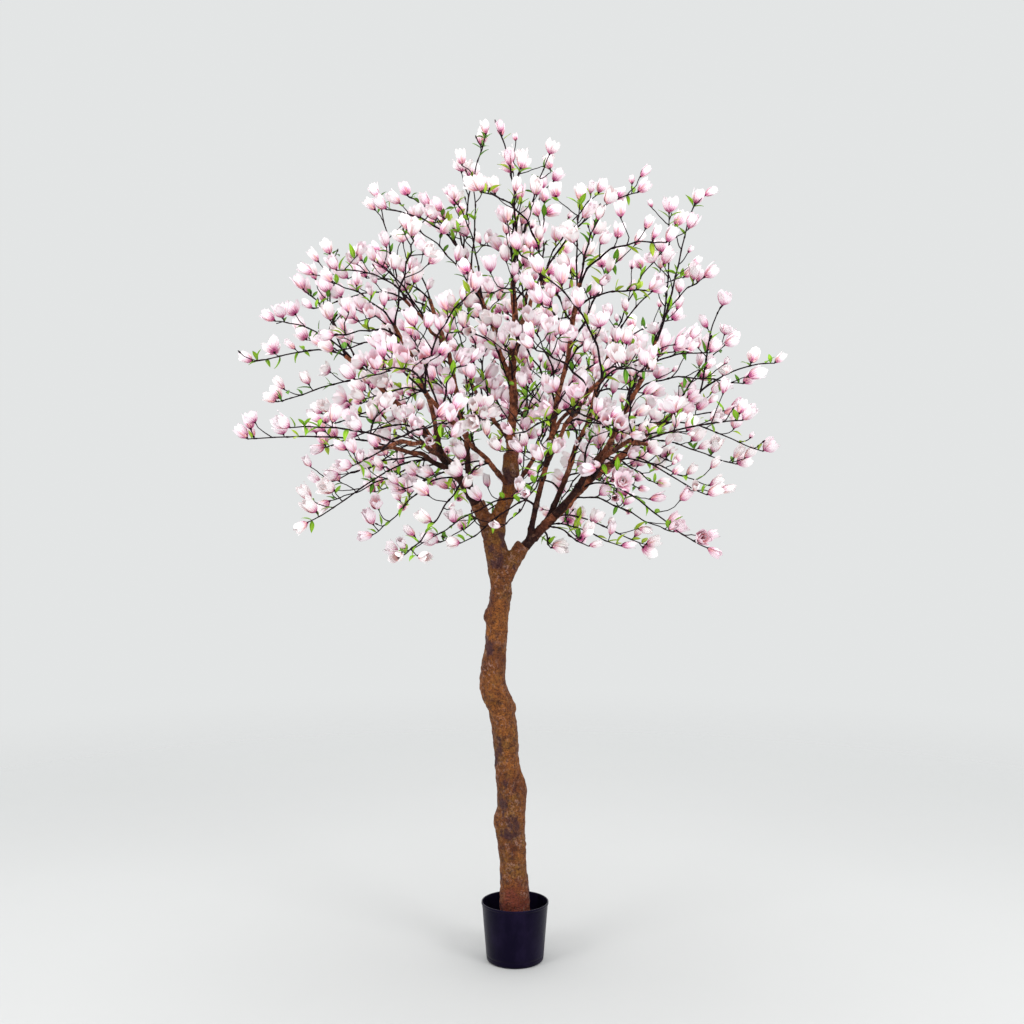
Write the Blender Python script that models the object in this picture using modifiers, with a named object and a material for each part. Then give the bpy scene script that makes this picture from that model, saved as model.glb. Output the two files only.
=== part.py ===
"""Artificial magnolia tree, 3 m tall: a moulded trunk set in a ballasted nursery pot, natural wood
boughs plugged into its stubs, and masses of blossom sprays on the boughs. Metres, +Z up."""

import math

import bmesh
import bpy
from mathutils import Matrix, Vector, noise
from mathutils.bvhtree import BVHTree

# Fit between pieces that touch, and between a bough and its socket or pocket
GAP = 0.0003
SOCKET_GAP = 0.0005
CAST_GAP = 0.0012
WELD = 0.00001

# Pot and the ballast cast in it
POT_HEIGHT = 0.208
POT_RIM_RADIUS = 0.118
POT_BASE_RADIUS = 0.101
POT_WALL = 0.0026
POT_FLOOR = 0.004
POT_LIP = 0.0016
POT_LIP_HEIGHT = 0.007
POT_FOOT_RADIUS = 0.008
POT_FOOT_STEPS = 3
POT_STEPS = 26
BALLAST_TOP = 0.120

# The stem's foot, a straight round inside the ballast
FOOT_CENTRE = (0.002, 0.000)
FOOT_RADIUS = 0.052
FOOT_HEIGHT = 0.130

# Level at which the stem's foot is parted from the rest, so that the pot's mouth stays open in collision
PARTING_HEIGHT = 0.260
PARTING_REACH = 2.0

# Main stem of the trunk, one row a section: height, centre sideways, centre in depth, radius
STEM = (
    (POT_FLOOR + GAP, *FOOT_CENTRE, FOOT_RADIUS),
    (FOOT_HEIGHT, *FOOT_CENTRE, FOOT_RADIUS),
    (0.250, -0.002, 0.002, 0.0518),
    (0.330, -0.005, 0.005, 0.0482),
    (0.412, -0.014, 0.008, 0.0500),
    (0.494, -0.017, 0.010, 0.0545),
    (0.555, -0.011, 0.010, 0.0518),
    (0.600, -0.011, 0.009, 0.0530),
    (0.655, -0.021, 0.006, 0.0495),
    (0.700, -0.029, 0.003, 0.0440),
    (0.780, -0.033, -0.002, 0.0453),
    (0.862, -0.043, -0.007, 0.0464),
    (0.905, -0.052, -0.009, 0.0485),
    (0.958, -0.074, -0.010, 0.0490),
    (0.990, -0.080, -0.009, 0.0460),
    (1.044, -0.077, -0.007, 0.0412),
    (1.110, -0.069, -0.003, 0.0402),
    (1.190, -0.064, 0.002, 0.0393),
    (1.270, -0.056, 0.006, 0.0390),
    (1.330, -0.050, 0.008, 0.0375),
    (1.400, -0.058, 0.008, 0.0395),
    (1.448, -0.066, 0.007, 0.0410),
    (1.500, -0.080, 0.006, 0.0365),
)

# Moulded stubs above and beside the stem, each a short tapering run: sideways, depth, height, radius
STUBS = {
    "left_stub": (
        (-0.072, 0.006, 1.470, 0.0330),
        (-0.098, 0.004, 1.545, 0.0290),
        (-0.120, 0.002, 1.592, 0.0250),
        (-0.136, 0.000, 1.622, 0.0265),
    ),
    "centre_stub": (
        (-0.072, 0.008, 1.500, 0.0330),
        (-0.057, 0.010, 1.572, 0.0290),
        (-0.041, 0.012, 1.620, 0.0262),
        (-0.025, 0.012, 1.660, 0.0240),
        (-0.015, 0.012, 1.702, 0.0280),
        (-0.014, 0.012, 1.745, 0.0295),
        (-0.017, 0.012, 1.782, 0.0285),
        (-0.014, 0.012, 1.802, 0.0240),
    ),
    "right_stub": (
        (-0.048, 0.006, 1.340, 0.0300),
        (-0.020, 0.003, 1.402, 0.0330),
        (0.006, -0.002, 1.444, 0.0280),
        (0.029, -0.006, 1.477, 0.0250),
    ),
    "shoulder_stub": (
        (-0.014, 0.012, 1.668, 0.0120),
        (0.024, 0.016, 1.708, 0.0130),
    ),
}

# Knots that swell out of the stem: centre and radii of each swelling
KNOTS = (
    ((-0.083, -0.004, 1.222), (0.036, 0.030, 0.030)),
    ((0.012, -0.004, 0.592), (0.033, 0.040, 0.036)),
    ((-0.046, 0.006, 0.492), (0.030, 0.038, 0.050)),
    ((-0.022, 0.000, 0.895), (0.028, 0.036, 0.030)),
)
KNOT_SIDES = 10
KNOT_RINGS = 6
STEM_SIDES = 12
STUB_SIDES = 10

# Boughs: name, what it grows from, how far along that, tip (x, y, z), bow upwards and sway sideways
# of its middle, radius at its foot and at its tip
BOUGHS = (
    ("leader", "centre_stub", 0.86, (-0.004, 0.020, 2.490), 0.000, 0.006, 0.0180, 0.0090),
    ("right_bough", "right_stub", 0.66, (0.668, 0.050, 2.009), 0.030, 0.010, 0.0185, 0.0085),
    ("right_upper_bough", "right_bough", 0.17, (0.359, 0.250, 2.206), 0.004, 0.020, 0.0105, 0.0070),
    ("right_middle_bough", "right_bough", 0.22, (0.488, -0.150, 2.183), -0.040, 0.015, 0.0125, 0.0065),
    ("right_front_bough", "right_bough", 0.07, (0.212, -0.350, 2.344), 0.026, -0.020, 0.0105, 0.0070),
    ("right_back_bough", "shoulder_stub", 0.45, (0.295, 0.420, 2.080), 0.030, 0.020, 0.0085, 0.0060),
    ("left_bough", "left_stub", 0.80, (-0.599, -0.050, 2.144), 0.034, 0.010, 0.0175, 0.0070),
    ("left_low_bough", "left_bough", 0.20, (-0.463, -0.320, 1.805), 0.032, 0.010, 0.0095, 0.0060),
    ("left_rising_bough", "left_bough", 0.08, (-0.324, 0.300, 2.403), 0.022, 0.020, 0.0115, 0.0070),
    ("left_front_bough", "left_bough", 0.33, (-0.404, -0.280, 2.217), 0.012, -0.020, 0.0090, 0.0060),
    ("left_fork_bough", "left_rising_bough", 0.68, (-0.403, 0.120, 2.371), 0.010, 0.000, 0.0062, 0.0050),
    ("front_left_bough", "centre_stub", 0.62, (-0.288, -0.450, 1.974), 0.020, 0.020, 0.0095, 0.0060),
    ("back_left_bough", "leader", 0.10, (-0.174, 0.380, 2.095), 0.020, -0.020, 0.0090, 0.0060),
    ("leader_left_bough", "leader", 0.34, (-0.185, 0.000, 2.511), 0.012, 0.010, 0.0092, 0.0080),
    ("leader_right_bough", "leader", 0.60, (0.090, -0.120, 2.395), -0.012, 0.010, 0.0080, 0.0062),
    ("leader_back_bough", "leader", 0.48, (0.050, 0.330, 2.450), 0.020, 0.010, 0.0075, 0.0058),
    ("back_bough", "centre_stub", 0.74, (0.050, 0.580, 2.030), 0.040, 0.010, 0.0100, 0.0060),
    ("back_low_left_bough", "left_bough", 0.14, (-0.380, 0.500, 1.870), 0.040, 0.000, 0.0095, 0.0060),
    ("back_low_right_bough", "right_bough", 0.36, (0.420, 0.480, 1.860), 0.040, 0.000, 0.0095, 0.0060),
    ("front_right_bough", "right_front_bough", 0.30, (0.270, -0.560, 2.010), 0.024, 0.000, 0.0078, 0.0056),
    ("front_low_left_bough", "left_bough", 0.27, (-0.420, -0.500, 1.790), 0.050, 0.000, 0.0090, 0.0058),
    ("front_low_right_bough", "right_bough", 0.44, (0.420, -0.440, 1.810), 0.050, 0.000, 0.0090, 0.0058),
)
BOUGH_STATIONS = 8
BOUGH_SIDES = 6
BOUGH_KINK = 0.006
BOUGH_KINK_TURN = 2.4
BOUGH_SINK = 0.35

# Masses of blossom: name, bough that carries it, how far along that, furthest tip, half width
MASSES = (
    ("top", "leader", 1.00, (-0.082, 0.000, 3.000), 0.080),
    ("top_right", "leader", 0.93, (0.141, -0.060, 2.905), 0.115),
    ("top_left", "leader_left_bough", 0.84, (-0.217, -0.190, 2.713), 0.110),
    ("high_left", "leader_left_bough", 1.00, (-0.509, 0.050, 2.790), 0.110),
    ("high_right", "leader_right_bough", 1.00, (0.325, 0.080, 2.810), 0.110),
    ("high_back", "leader_back_bough", 1.00, (0.080, 0.560, 2.740), 0.115),
    ("shoulder_left", "left_fork_bough", 1.00, (-0.690, 0.080, 2.587), 0.110),
    ("shoulder_right", "right_front_bough", 1.00, (0.656, -0.050, 2.730), 0.120),
    ("shoulder_back", "left_rising_bough", 1.00, (-0.520, 0.560, 2.640), 0.130),
    ("shoulder_front_left", "left_front_bough", 0.72, (-0.300, -0.680, 2.480), 0.136),
    ("shoulder_front_right", "right_front_bough", 0.80, (0.260, -0.680, 2.520), 0.136),
    ("upper_left", "left_front_bough", 1.00, (-0.882, -0.120, 2.290), 0.110),
    ("upper_right", "right_upper_bough", 1.00, (0.680, 0.260, 2.527), 0.130),
    ("outer_right", "right_middle_bough", 1.00, (0.729, -0.150, 2.358), 0.110),
    ("tip_left", "left_bough", 1.00, (-0.985, 0.000, 2.160), 0.110),
    ("tip_right", "right_bough", 1.00, (0.967, 0.000, 2.165), 0.110),
    ("side_left", "left_bough", 0.76, (-0.964, -0.150, 1.893), 0.120),
    ("side_right", "right_bough", 0.84, (0.912, -0.100, 1.845), 0.110),
    ("side_back_left", "left_bough", 0.62, (-0.800, 0.460, 2.020), 0.125),
    ("side_back_right", "right_bough", 0.70, (0.800, 0.460, 2.060), 0.125),
    ("side_front_left", "front_low_left_bough", 0.84, (-0.740, -0.620, 1.880), 0.145),
    ("side_front_right", "front_low_right_bough", 0.84, (0.740, -0.600, 1.920), 0.145),
    ("front_left", "front_left_bough", 1.00, (-0.400, -0.930, 2.040), 0.150),
    ("front_right", "front_right_bough", 1.00, (0.380, -0.940, 2.040), 0.150),
    ("back_middle", "back_bough", 1.00, (0.040, 0.940, 2.240), 0.145),
    ("back_left", "back_left_bough", 1.00, (-0.420, 0.760, 2.330), 0.125),
    ("back_right", "right_back_bough", 1.00, (0.520, 0.740, 2.360), 0.125),
    ("low_left", "left_low_bough", 1.00, (-0.734, -0.300, 1.528), 0.120),
    ("low_right", "right_bough", 0.56, (0.702, -0.260, 1.680), 0.110),
    ("low_back", "back_bough", 0.62, (0.000, 0.800, 1.700), 0.110),
    ("low_back_left", "back_low_left_bough", 1.00, (-0.480, 0.800, 1.620), 0.115),
    ("low_back_right", "back_low_right_bough", 1.00, (0.480, 0.800, 1.600), 0.115),
    ("foot_left", "front_low_left_bough", 1.00, (-0.384, -0.550, 1.454), 0.105),
    ("foot_right", "front_low_right_bough", 1.00, (0.677, -0.360, 1.450), 0.110),
)
MASS_OVERLAP = 0.090
MASS_SIDES = 10
MASS_RINGS = 7
MASS_UNEVENNESS = 0.42
MASS_ROUGH_SCALE = 1.7
MASS_SEED_STEP = (3.7, 1.3, 0.0)
MASS_END_POWER = 6
AXIS_SAMPLES = 14
AXIS_SPAN = (0.30, 0.88)

# Colours as linear red, green, blue
POT_COLOUR = (0.012, 0.010, 0.018, 1.0)
BALLAST_COLOUR = (0.16, 0.15, 0.14, 1.0)
TRUNK_COLOUR = (0.17, 0.075, 0.030, 1.0)
WOOD_COLOUR = (0.12, 0.045, 0.030, 1.0)
BLOSSOM_COLOUR = (0.80, 0.52, 0.60, 1.0)

TREE = bpy.data.collections.new("magnolia_tree")
CUTTERS = bpy.data.collections.new("cutters")


def clear_scene():
    for old in list(bpy.data.objects):
        bpy.data.objects.remove(old)
    bpy.context.scene.collection.children.link(TREE)
    bpy.context.scene.collection.children.link(CUTTERS)


def make_material(name, colour, roughness):
    made = bpy.data.materials.new(name)
    made.use_nodes = True
    shader = made.node_tree.nodes["Principled BSDF"]
    shader.inputs["Base Color"].default_value = colour
    shader.inputs["Roughness"].default_value = roughness
    shader.inputs["Metallic"].default_value = 0.0
    made.diffuse_color = colour
    return made


def place(name, mesh, material):
    piece = bpy.data.objects.new(name, mesh)
    TREE.objects.link(piece)
    mesh.materials.clear()
    mesh.materials.append(material)
    return piece


def as_cutter(name, mesh):
    cutter = bpy.data.objects.new(name, mesh)
    CUTTERS.objects.link(cutter)
    cutter.hide_render = True
    cutter.display_type = "WIRE"
    return cutter


def evaluated_mesh(source):
    bpy.context.view_layer.update()
    graph = bpy.context.evaluated_depsgraph_get()
    return bpy.data.meshes.new_from_object(source.evaluated_get(graph), depsgraph=graph)


def cleaned(mesh):
    """Welds the seams that a curve or a lathe leaves, and faces the surface outwards."""
    shell = bmesh.new()
    shell.from_mesh(mesh)
    bmesh.ops.remove_doubles(shell, verts=shell.verts, dist=WELD)
    bmesh.ops.recalc_face_normals(shell, faces=shell.faces)
    shell.to_mesh(mesh)
    shell.free()
    return mesh


def tube_mesh(name, points, radii, sides):
    """A tapering round run through the points, closed by flat caps."""
    curve = bpy.data.curves.new(name, "CURVE")
    curve.dimensions = "3D"
    curve.bevel_depth = 1.0
    curve.bevel_resolution = sides // 2 - 2
    curve.use_fill_caps = True
    spline = curve.splines.new("POLY")
    spline.points.add(len(points) - 1)
    for knot, at, radius in zip(spline.points, points, radii):
        knot.co = (at[0], at[1], at[2], 1.0)
        knot.radius = radius
    guide = bpy.data.objects.new(name, curve)
    CUTTERS.objects.link(guide)
    mesh = evaluated_mesh(guide)
    bpy.data.objects.remove(guide)
    return cleaned(mesh)


def turned_mesh(name, profile):
    """A body turned about the pot's axis from a profile that starts and ends on the same point."""
    outline = bmesh.new()
    corners = [outline.verts.new((across, 0.0, height)) for across, height in profile[:-1]]
    for a, b in zip(corners, corners[1:] + corners[:1]):
        if a.co.x > 0.0 or b.co.x > 0.0:
            outline.edges.new((a, b))
    mesh = bpy.data.meshes.new(name)
    outline.to_mesh(mesh)
    outline.free()
    lathe = bpy.data.objects.new(name, mesh)
    CUTTERS.objects.link(lathe)
    turn = lathe.modifiers.new("turn", "SCREW")
    turn.axis = "Z"
    turn.angle = math.tau
    turn.steps = POT_STEPS
    turn.render_steps = POT_STEPS
    turn.use_merge_vertices = True
    turn.merge_threshold = WELD
    turned = evaluated_mesh(lathe)
    bpy.data.objects.remove(lathe)
    return cleaned(turned)


def ball_mesh(name, sides, rings, shaped):
    """A ball whose points are moved by a function of their place on the unit ball."""
    ball = bmesh.new()
    bmesh.ops.create_uvsphere(ball, u_segments=sides, v_segments=rings, radius=1.0)
    for vertex in ball.verts:
        vertex.co = shaped(vertex.co.copy())
    mesh = bpy.data.meshes.new(name)
    ball.to_mesh(mesh)
    ball.free()
    return mesh


def grown(points, radii, by):
    """The same run made larger by a clearance, past both of its ends too."""
    longer = [Vector(at) for at in points]
    longer[0] += (longer[0] - longer[1]).normalized() * by
    longer[-1] += (longer[-1] - longer[-2]).normalized() * by
    return longer, [radius + by for radius in radii]


def point_along(points, share):
    """The point at a share of the run's length, and the place between its rows as a plain number."""
    steps = [(b - a).length for a, b in zip(points, points[1:])]
    left = share * sum(steps)
    for index, step in enumerate(steps):
        if left <= step or index == len(steps) - 1:
            part = min(1.0, left / step)
            return points[index].lerp(points[index + 1], part), index + part
        left -= step
    return points[-1], len(points) - 1.0


def radius_at(radii, place_between):
    index = min(int(place_between), len(radii) - 2)
    part = place_between - index
    return radii[index] * (1.0 - part) + radii[index + 1] * part


def bough_run(row, order):
    """Points and radii of one bough: an arc from its host to its tip, slightly kinked at its nodes."""
    _, host, along, tip, bow, sway, foot_radius, tip_radius = row
    host_points, host_radii = runs[host]
    start, between = point_along(host_points, along)
    tip = Vector(tip)
    chord = (tip - start).normalized()
    sideways = chord.cross(Vector((0.0, 0.0, 1.0))).normalized()
    upwards = sideways.cross(chord).normalized()
    start += chord * radius_at(host_radii, between) * BOUGH_SINK
    middle = (start + tip) / 2.0 + 2.0 * (upwards * bow + sideways * sway)
    points = []
    radii = []
    for station in range(BOUGH_STATIONS):
        t = station / (BOUGH_STATIONS - 1)
        at = start * (1.0 - t) ** 2 + middle * 2.0 * t * (1.0 - t) + tip * t * t
        swing = math.sin(math.pi * t) * BOUGH_KINK
        turn = BOUGH_KINK_TURN * station + order
        at += (sideways * math.cos(turn) + upwards * math.sin(turn)) * swing
        points.append(at)
        radii.append(foot_radius + (tip_radius - foot_radius) * t)
    return points, radii


def overlaps(one, other):
    trees = []
    for piece in (one, other):
        shell = bmesh.new()
        shell.from_mesh(piece.data)
        trees.append(BVHTree.FromBMesh(shell))
        shell.free()
    return bool(trees[0].overlap(trees[1]))


def keep_largest(mesh):
    """Drops a sliver that a cut has parted from the rest."""
    shell = bmesh.new()
    shell.from_mesh(mesh)
    left = set(shell.faces)
    islands = []
    while left:
        island = {left.pop()}
        edge_of_search = set(island)
        while edge_of_search:
            near = {link for face in edge_of_search for edge in face.edges for link in edge.link_faces}
            edge_of_search = near & left
            island |= edge_of_search
            left -= edge_of_search
        islands.append(island)
    if len(islands) > 1:
        largest = max(islands, key=lambda found: sum(face.calc_area() for face in found))
        spare = [face for face in shell.faces if face not in largest]
        bmesh.ops.delete(shell, geom=spare, context="FACES")
    shell.to_mesh(mesh)
    shell.free()


def combine(piece, others, operation):
    """Joins the others to the piece, or cuts them from it, and keeps the result as its mesh."""
    for other in others:
        step = piece.modifiers.new(operation.lower(), "BOOLEAN")
        step.operation = operation
        step.solver = "EXACT"
        step.object = other
    mesh = evaluated_mesh(piece)
    piece.modifiers.clear()
    keep_largest(mesh)
    piece.data = mesh


def make_pot(material):
    """The nursery pot: a turned wall and floor, with a thin lip and a rounded foot."""
    slope = (POT_RIM_RADIUS - POT_BASE_RADIUS) / POT_HEIGHT
    inner_rim = POT_RIM_RADIUS - POT_WALL
    profile = [
        (inner_rim, POT_HEIGHT),
        (POT_RIM_RADIUS + POT_LIP, POT_HEIGHT),
        (POT_RIM_RADIUS + POT_LIP, POT_HEIGHT - POT_LIP_HEIGHT),
        (POT_RIM_RADIUS - slope * POT_LIP_HEIGHT, POT_HEIGHT - POT_LIP_HEIGHT),
        (POT_BASE_RADIUS + slope * POT_FOOT_RADIUS, POT_FOOT_RADIUS),
    ]
    for step in range(1, POT_FOOT_STEPS + 1):
        turn = math.pi / 2.0 * step / POT_FOOT_STEPS
        across = POT_BASE_RADIUS - POT_FOOT_RADIUS * (1.0 - math.cos(turn))
        profile.append((across, POT_FOOT_RADIUS * (1.0 - math.sin(turn))))
    profile += [
        (0.0, 0.0),
        (0.0, POT_FLOOR),
        (POT_BASE_RADIUS - POT_FOOT_RADIUS, POT_FLOOR),
        (POT_BASE_RADIUS - POT_WALL + slope * POT_FOOT_RADIUS, POT_FOOT_RADIUS + POT_FLOOR),
        (inner_rim, POT_HEIGHT),
    ]
    place("pot", turned_mesh("pot", profile), material)


def make_ballast(material):
    """Cement cast round the trunk's foot, up to well below the rim."""
    slope = (POT_RIM_RADIUS - POT_BASE_RADIUS) / POT_HEIGHT
    foot = POT_FLOOR + POT_FOOT_RADIUS
    wall = POT_BASE_RADIUS - POT_WALL - CAST_GAP
    profile = [
        (0.0, BALLAST_TOP),
        (wall + slope * BALLAST_TOP, BALLAST_TOP),
        (wall + slope * foot, foot),
        (POT_BASE_RADIUS - POT_FOOT_RADIUS - CAST_GAP, POT_FLOOR + GAP),
        (0.0, POT_FLOOR + GAP),
        (0.0, BALLAST_TOP),
    ]
    ballast = place("ballast", turned_mesh("ballast", profile), material)
    hole = [Vector((*FOOT_CENTRE, -FOOT_HEIGHT)), Vector((*FOOT_CENTRE, FOOT_HEIGHT))]
    space = tube_mesh("foot_space", hole, [FOOT_RADIUS + SOCKET_GAP] * 2, STEM_SIDES)
    combine(ballast, [as_cutter("foot_space", space)], "DIFFERENCE")


def box_cutter(name, lowest, highest):
    """A box wide enough to take away all of the trunk between two heights."""
    box = bmesh.new()
    size = Vector((PARTING_REACH, PARTING_REACH, highest - lowest))
    middle = Vector((0.0, 0.0, (lowest + highest) / 2.0))
    bmesh.ops.create_cube(box, size=1.0, matrix=Matrix.LocRotScale(middle, None, size))
    mesh = bpy.data.meshes.new(name)
    box.to_mesh(mesh)
    box.free()
    return as_cutter(name, mesh)


def part_foot(trunk, material):
    """Parts the casting level just above the pot into the stem's foot and all the rest."""
    foot = place("trunk_foot", trunk.data.copy(), material)
    above = box_cutter("above_foot", PARTING_HEIGHT, PARTING_HEIGHT + PARTING_REACH)
    below = box_cutter("below_stem", -PARTING_REACH, PARTING_HEIGHT + GAP)
    combine(foot, [above], "DIFFERENCE")
    combine(trunk, [below], "DIFFERENCE")


def make_trunk(material):
    """The moulded trunk: its stem, its four stubs and its knots as one casting."""
    stem = [Vector((sideways, depth, height)) for height, sideways, depth, _ in STEM]
    trunk = place("trunk", tube_mesh("trunk", stem, [row[3] for row in STEM], STEM_SIDES), material)
    joined = []
    for name, rows in STUBS.items():
        points = [Vector(row[:3]) for row in rows]
        radii = [row[3] for row in rows]
        runs[name] = (points, radii)
        joined.append(as_cutter(name, tube_mesh(name, points, radii, STUB_SIDES)))
    for index, (centre, swell) in enumerate(KNOTS):

        def knot(at, centre=centre, swell=swell):
            return Vector(centre) + Vector([a * b for a, b in zip(at, swell)])

        name = f"knot_{index}"
        joined.append(as_cutter(name, ball_mesh(name, KNOT_SIDES, KNOT_RINGS, knot)))
    combine(trunk, joined, "UNION")
    part_foot(trunk, material)
    return trunk


def make_boughs(material, trunk):
    """Every bough, and the space that its foot and its tip take in the pieces that hold them."""
    boughs = {}
    spaces = {}
    for order, row in enumerate(BOUGHS):
        name = row[0]
        runs[name] = bough_run(row, order)
        boughs[name] = place(name, tube_mesh(name, *runs[name], BOUGH_SIDES), material)
        space = tube_mesh(name + "_space", *grown(*runs[name], SOCKET_GAP), BOUGH_SIDES)
        spaces[name] = as_cutter(name + "_space", space)
    for name, host, *_ in BOUGHS:
        combine(boughs.get(host, trunk), [spaces[name]], "DIFFERENCE")
    return spaces


def mass_axis(row):
    """The straight line that a mass lies along, from just behind its bough to its furthest tip."""
    _, carrier, along, tip, _ = row
    held, _ = point_along(runs[carrier][0], along)
    tip = Vector(tip)
    return held - (tip - held).normalized() * MASS_OVERLAP, tip


def parting_plane(one, other):
    """A point and a direction from one axis to the other, midway where the two come nearest."""
    low, high = AXIS_SPAN
    spread = [low + (high - low) * step / (AXIS_SAMPLES - 1) for step in range(AXIS_SAMPLES)]
    pairs = [(one[0].lerp(one[1], s), other[0].lerp(other[1], t)) for s in spread for t in spread]
    here, there = min(pairs, key=lambda pair: (pair[0] - pair[1]).length)
    return (here + there) / 2.0, (there - here).normalized()


def mass_mesh(index, axes):
    """One uneven, long mass that reaches its tip and keeps to its own side of every neighbour."""
    start, tip = axes[index]
    half_width = MASSES[index][4]
    centre = (start + tip) / 2.0
    half_length = (tip - start).length / 2.0
    turned = (tip - start).normalized().to_track_quat("Z", "Y")
    planes = [parting_plane(axes[index], other) for n, other in enumerate(axes) if n != index]
    offset = Vector(MASS_SEED_STEP) * index

    def uneven(ball):
        lump = noise.noise(ball * MASS_ROUGH_SCALE + offset)
        across = half_width * (1.0 + MASS_UNEVENNESS * lump * (1.0 - abs(ball.z) ** MASS_END_POWER))
        arm = turned @ Vector((ball.x * across, ball.y * across, ball.z * half_length))
        for at, facing in planes:
            room = (at - centre).dot(facing) - GAP
            reach = arm.dot(facing)
            if reach > room:
                arm *= room / reach
        return centre + arm

    return ball_mesh("mass", MASS_SIDES, MASS_RINGS, uneven)


def make_masses(material, spaces):
    axes = [mass_axis(row) for row in MASSES]
    for index, row in enumerate(MASSES):
        mass = place("blossom_" + row[0], mass_mesh(index, axes), material)
        crossing = [space for space in spaces.values() if overlaps(mass, space)]
        combine(mass, crossing, "DIFFERENCE")


clear_scene()
runs = {}
make_pot(make_material("pot_plastic", POT_COLOUR, 0.4))
make_ballast(make_material("cement", BALLAST_COLOUR, 0.95))
trunk = make_trunk(make_material("moulded_bark", TRUNK_COLOUR, 0.75))
bough_spaces = make_boughs(make_material("natural_wood", WOOD_COLOUR, 0.8), trunk)
make_masses(make_material("blossom", BLOSSOM_COLOUR, 0.6), bough_spaces)
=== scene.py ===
import math

import bmesh
import bpy
import numpy as np
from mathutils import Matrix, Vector, noise


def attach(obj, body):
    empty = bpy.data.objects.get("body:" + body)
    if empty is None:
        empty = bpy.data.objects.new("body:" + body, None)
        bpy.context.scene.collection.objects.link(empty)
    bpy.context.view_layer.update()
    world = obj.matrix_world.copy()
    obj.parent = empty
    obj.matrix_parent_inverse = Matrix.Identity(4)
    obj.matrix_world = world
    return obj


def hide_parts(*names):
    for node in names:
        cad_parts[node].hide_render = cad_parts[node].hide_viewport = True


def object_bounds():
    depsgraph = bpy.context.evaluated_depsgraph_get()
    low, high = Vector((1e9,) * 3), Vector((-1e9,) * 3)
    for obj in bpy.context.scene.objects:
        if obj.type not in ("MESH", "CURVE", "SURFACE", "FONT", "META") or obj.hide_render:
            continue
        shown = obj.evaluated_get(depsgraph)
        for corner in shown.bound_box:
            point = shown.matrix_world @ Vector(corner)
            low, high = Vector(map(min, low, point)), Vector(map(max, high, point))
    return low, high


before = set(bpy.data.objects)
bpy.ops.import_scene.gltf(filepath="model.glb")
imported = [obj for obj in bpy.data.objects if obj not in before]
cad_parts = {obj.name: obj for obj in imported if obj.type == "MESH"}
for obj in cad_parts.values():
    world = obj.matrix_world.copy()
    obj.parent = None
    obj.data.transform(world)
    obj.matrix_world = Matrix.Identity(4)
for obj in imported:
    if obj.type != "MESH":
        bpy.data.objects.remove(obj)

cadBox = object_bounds()
scene = bpy.context.scene
upward = np.array((0.0, 0.0, 1.0))

# Camera of the reference view: level, looking along +Y
camera = {
    "place": (-0.0107, -4.28, 1.594),
    "lens": 42.19,
    "sensor": 36.0,
}


def addCamera():
    made = bpy.data.cameras.new("studioCamera")
    made.lens = camera["lens"]
    made.sensor_width = camera["sensor"]
    holder = bpy.data.objects.new("studioCamera", made)
    holder.location = camera["place"]
    holder.rotation_euler = (math.pi / 2.0, 0.0, 0.0)
    scene.collection.objects.link(holder)
    scene.camera = holder


addCamera()
print("camera set")


# Small helpers for shader nodes
def feed(tree, sockets, values):
    # each value is a socket to link, or a plain value to set
    for key, value in values.items():
        if isinstance(value, bpy.types.NodeSocket):
            tree.links.new(value, sockets[key])
        else:
            sockets[key].default_value = (*value, 1.0) if sockets[key].type == "RGBA" else value


def newMaterial(name, skin, *given):
    # skin is a function that gives the values of the material's Principled sockets
    made = bpy.data.materials.new(name)
    made.use_nodes = True
    tree = made.node_tree
    feed(tree, tree.nodes["Principled BSDF"].inputs, skin(tree, *given))
    return made


def addNode(tree, kind, settings=None, values=None):
    made = tree.nodes.new(kind)
    for key, value in (settings or {}).items():
        setattr(made, key, value)
    feed(tree, made.inputs, values or {})
    return made


def blendColours(tree, share, first, second):
    # a mix node holds its colours in the sockets 6 and 7, and its mixed colour in 2
    made = addNode(tree, "ShaderNodeMix", {"data_type": "RGBA"}, {"Factor": share, 6: first, 7: second})
    return made.outputs[2]


def spread(tree, value, low, high, newLow=0.0, newHigh=1.0):
    # stretches a value from one range to another with soft ends
    levels = {"Value": value, "From Min": low, "From Max": high, "To Min": newLow, "To Max": newHigh}
    return addNode(tree, "ShaderNodeMapRange", {"interpolation_type": "SMOOTHSTEP"}, levels).outputs["Result"]


def sums(tree, kind, *parts):
    return addNode(tree, "ShaderNodeMath", {"operation": kind}, dict(enumerate(parts))).outputs[0]


def coordinates(tree, place):
    return addNode(tree, "ShaderNodeSeparateXYZ", None, {0: place}).outputs


def clouded(tree, place, stretch, scale, detail=3.0, roughness=0.5):
    # a noise, stretched along its axes
    stretched = addNode(tree, "ShaderNodeVectorMath", {"operation": "MULTIPLY"}, {0: place, 1: stretch})
    values = {"Vector": stretched.outputs[0], "Scale": scale, "Detail": detail, "Roughness": roughness}
    return addNode(tree, "ShaderNodeTexNoise", None, values).outputs["Fac"]


def bumped(tree, height, distance, strength):
    values = {"Height": height, "Distance": distance, "Strength": strength}
    return addNode(tree, "ShaderNodeBump", None, values).outputs["Normal"]


def newGroup(name, inputs, outputs):
    group = bpy.data.node_groups.new(name, "ShaderNodeTree")
    for side, sockets in (("INPUT", inputs), ("OUTPUT", outputs)):
        for label, kind in sockets.items():
            group.interface.new_socket(label, in_out=side, socket_type="NodeSocket" + kind)
    return group, group.nodes.new("NodeGroupInput").outputs, group.nodes.new("NodeGroupOutput").inputs


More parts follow.
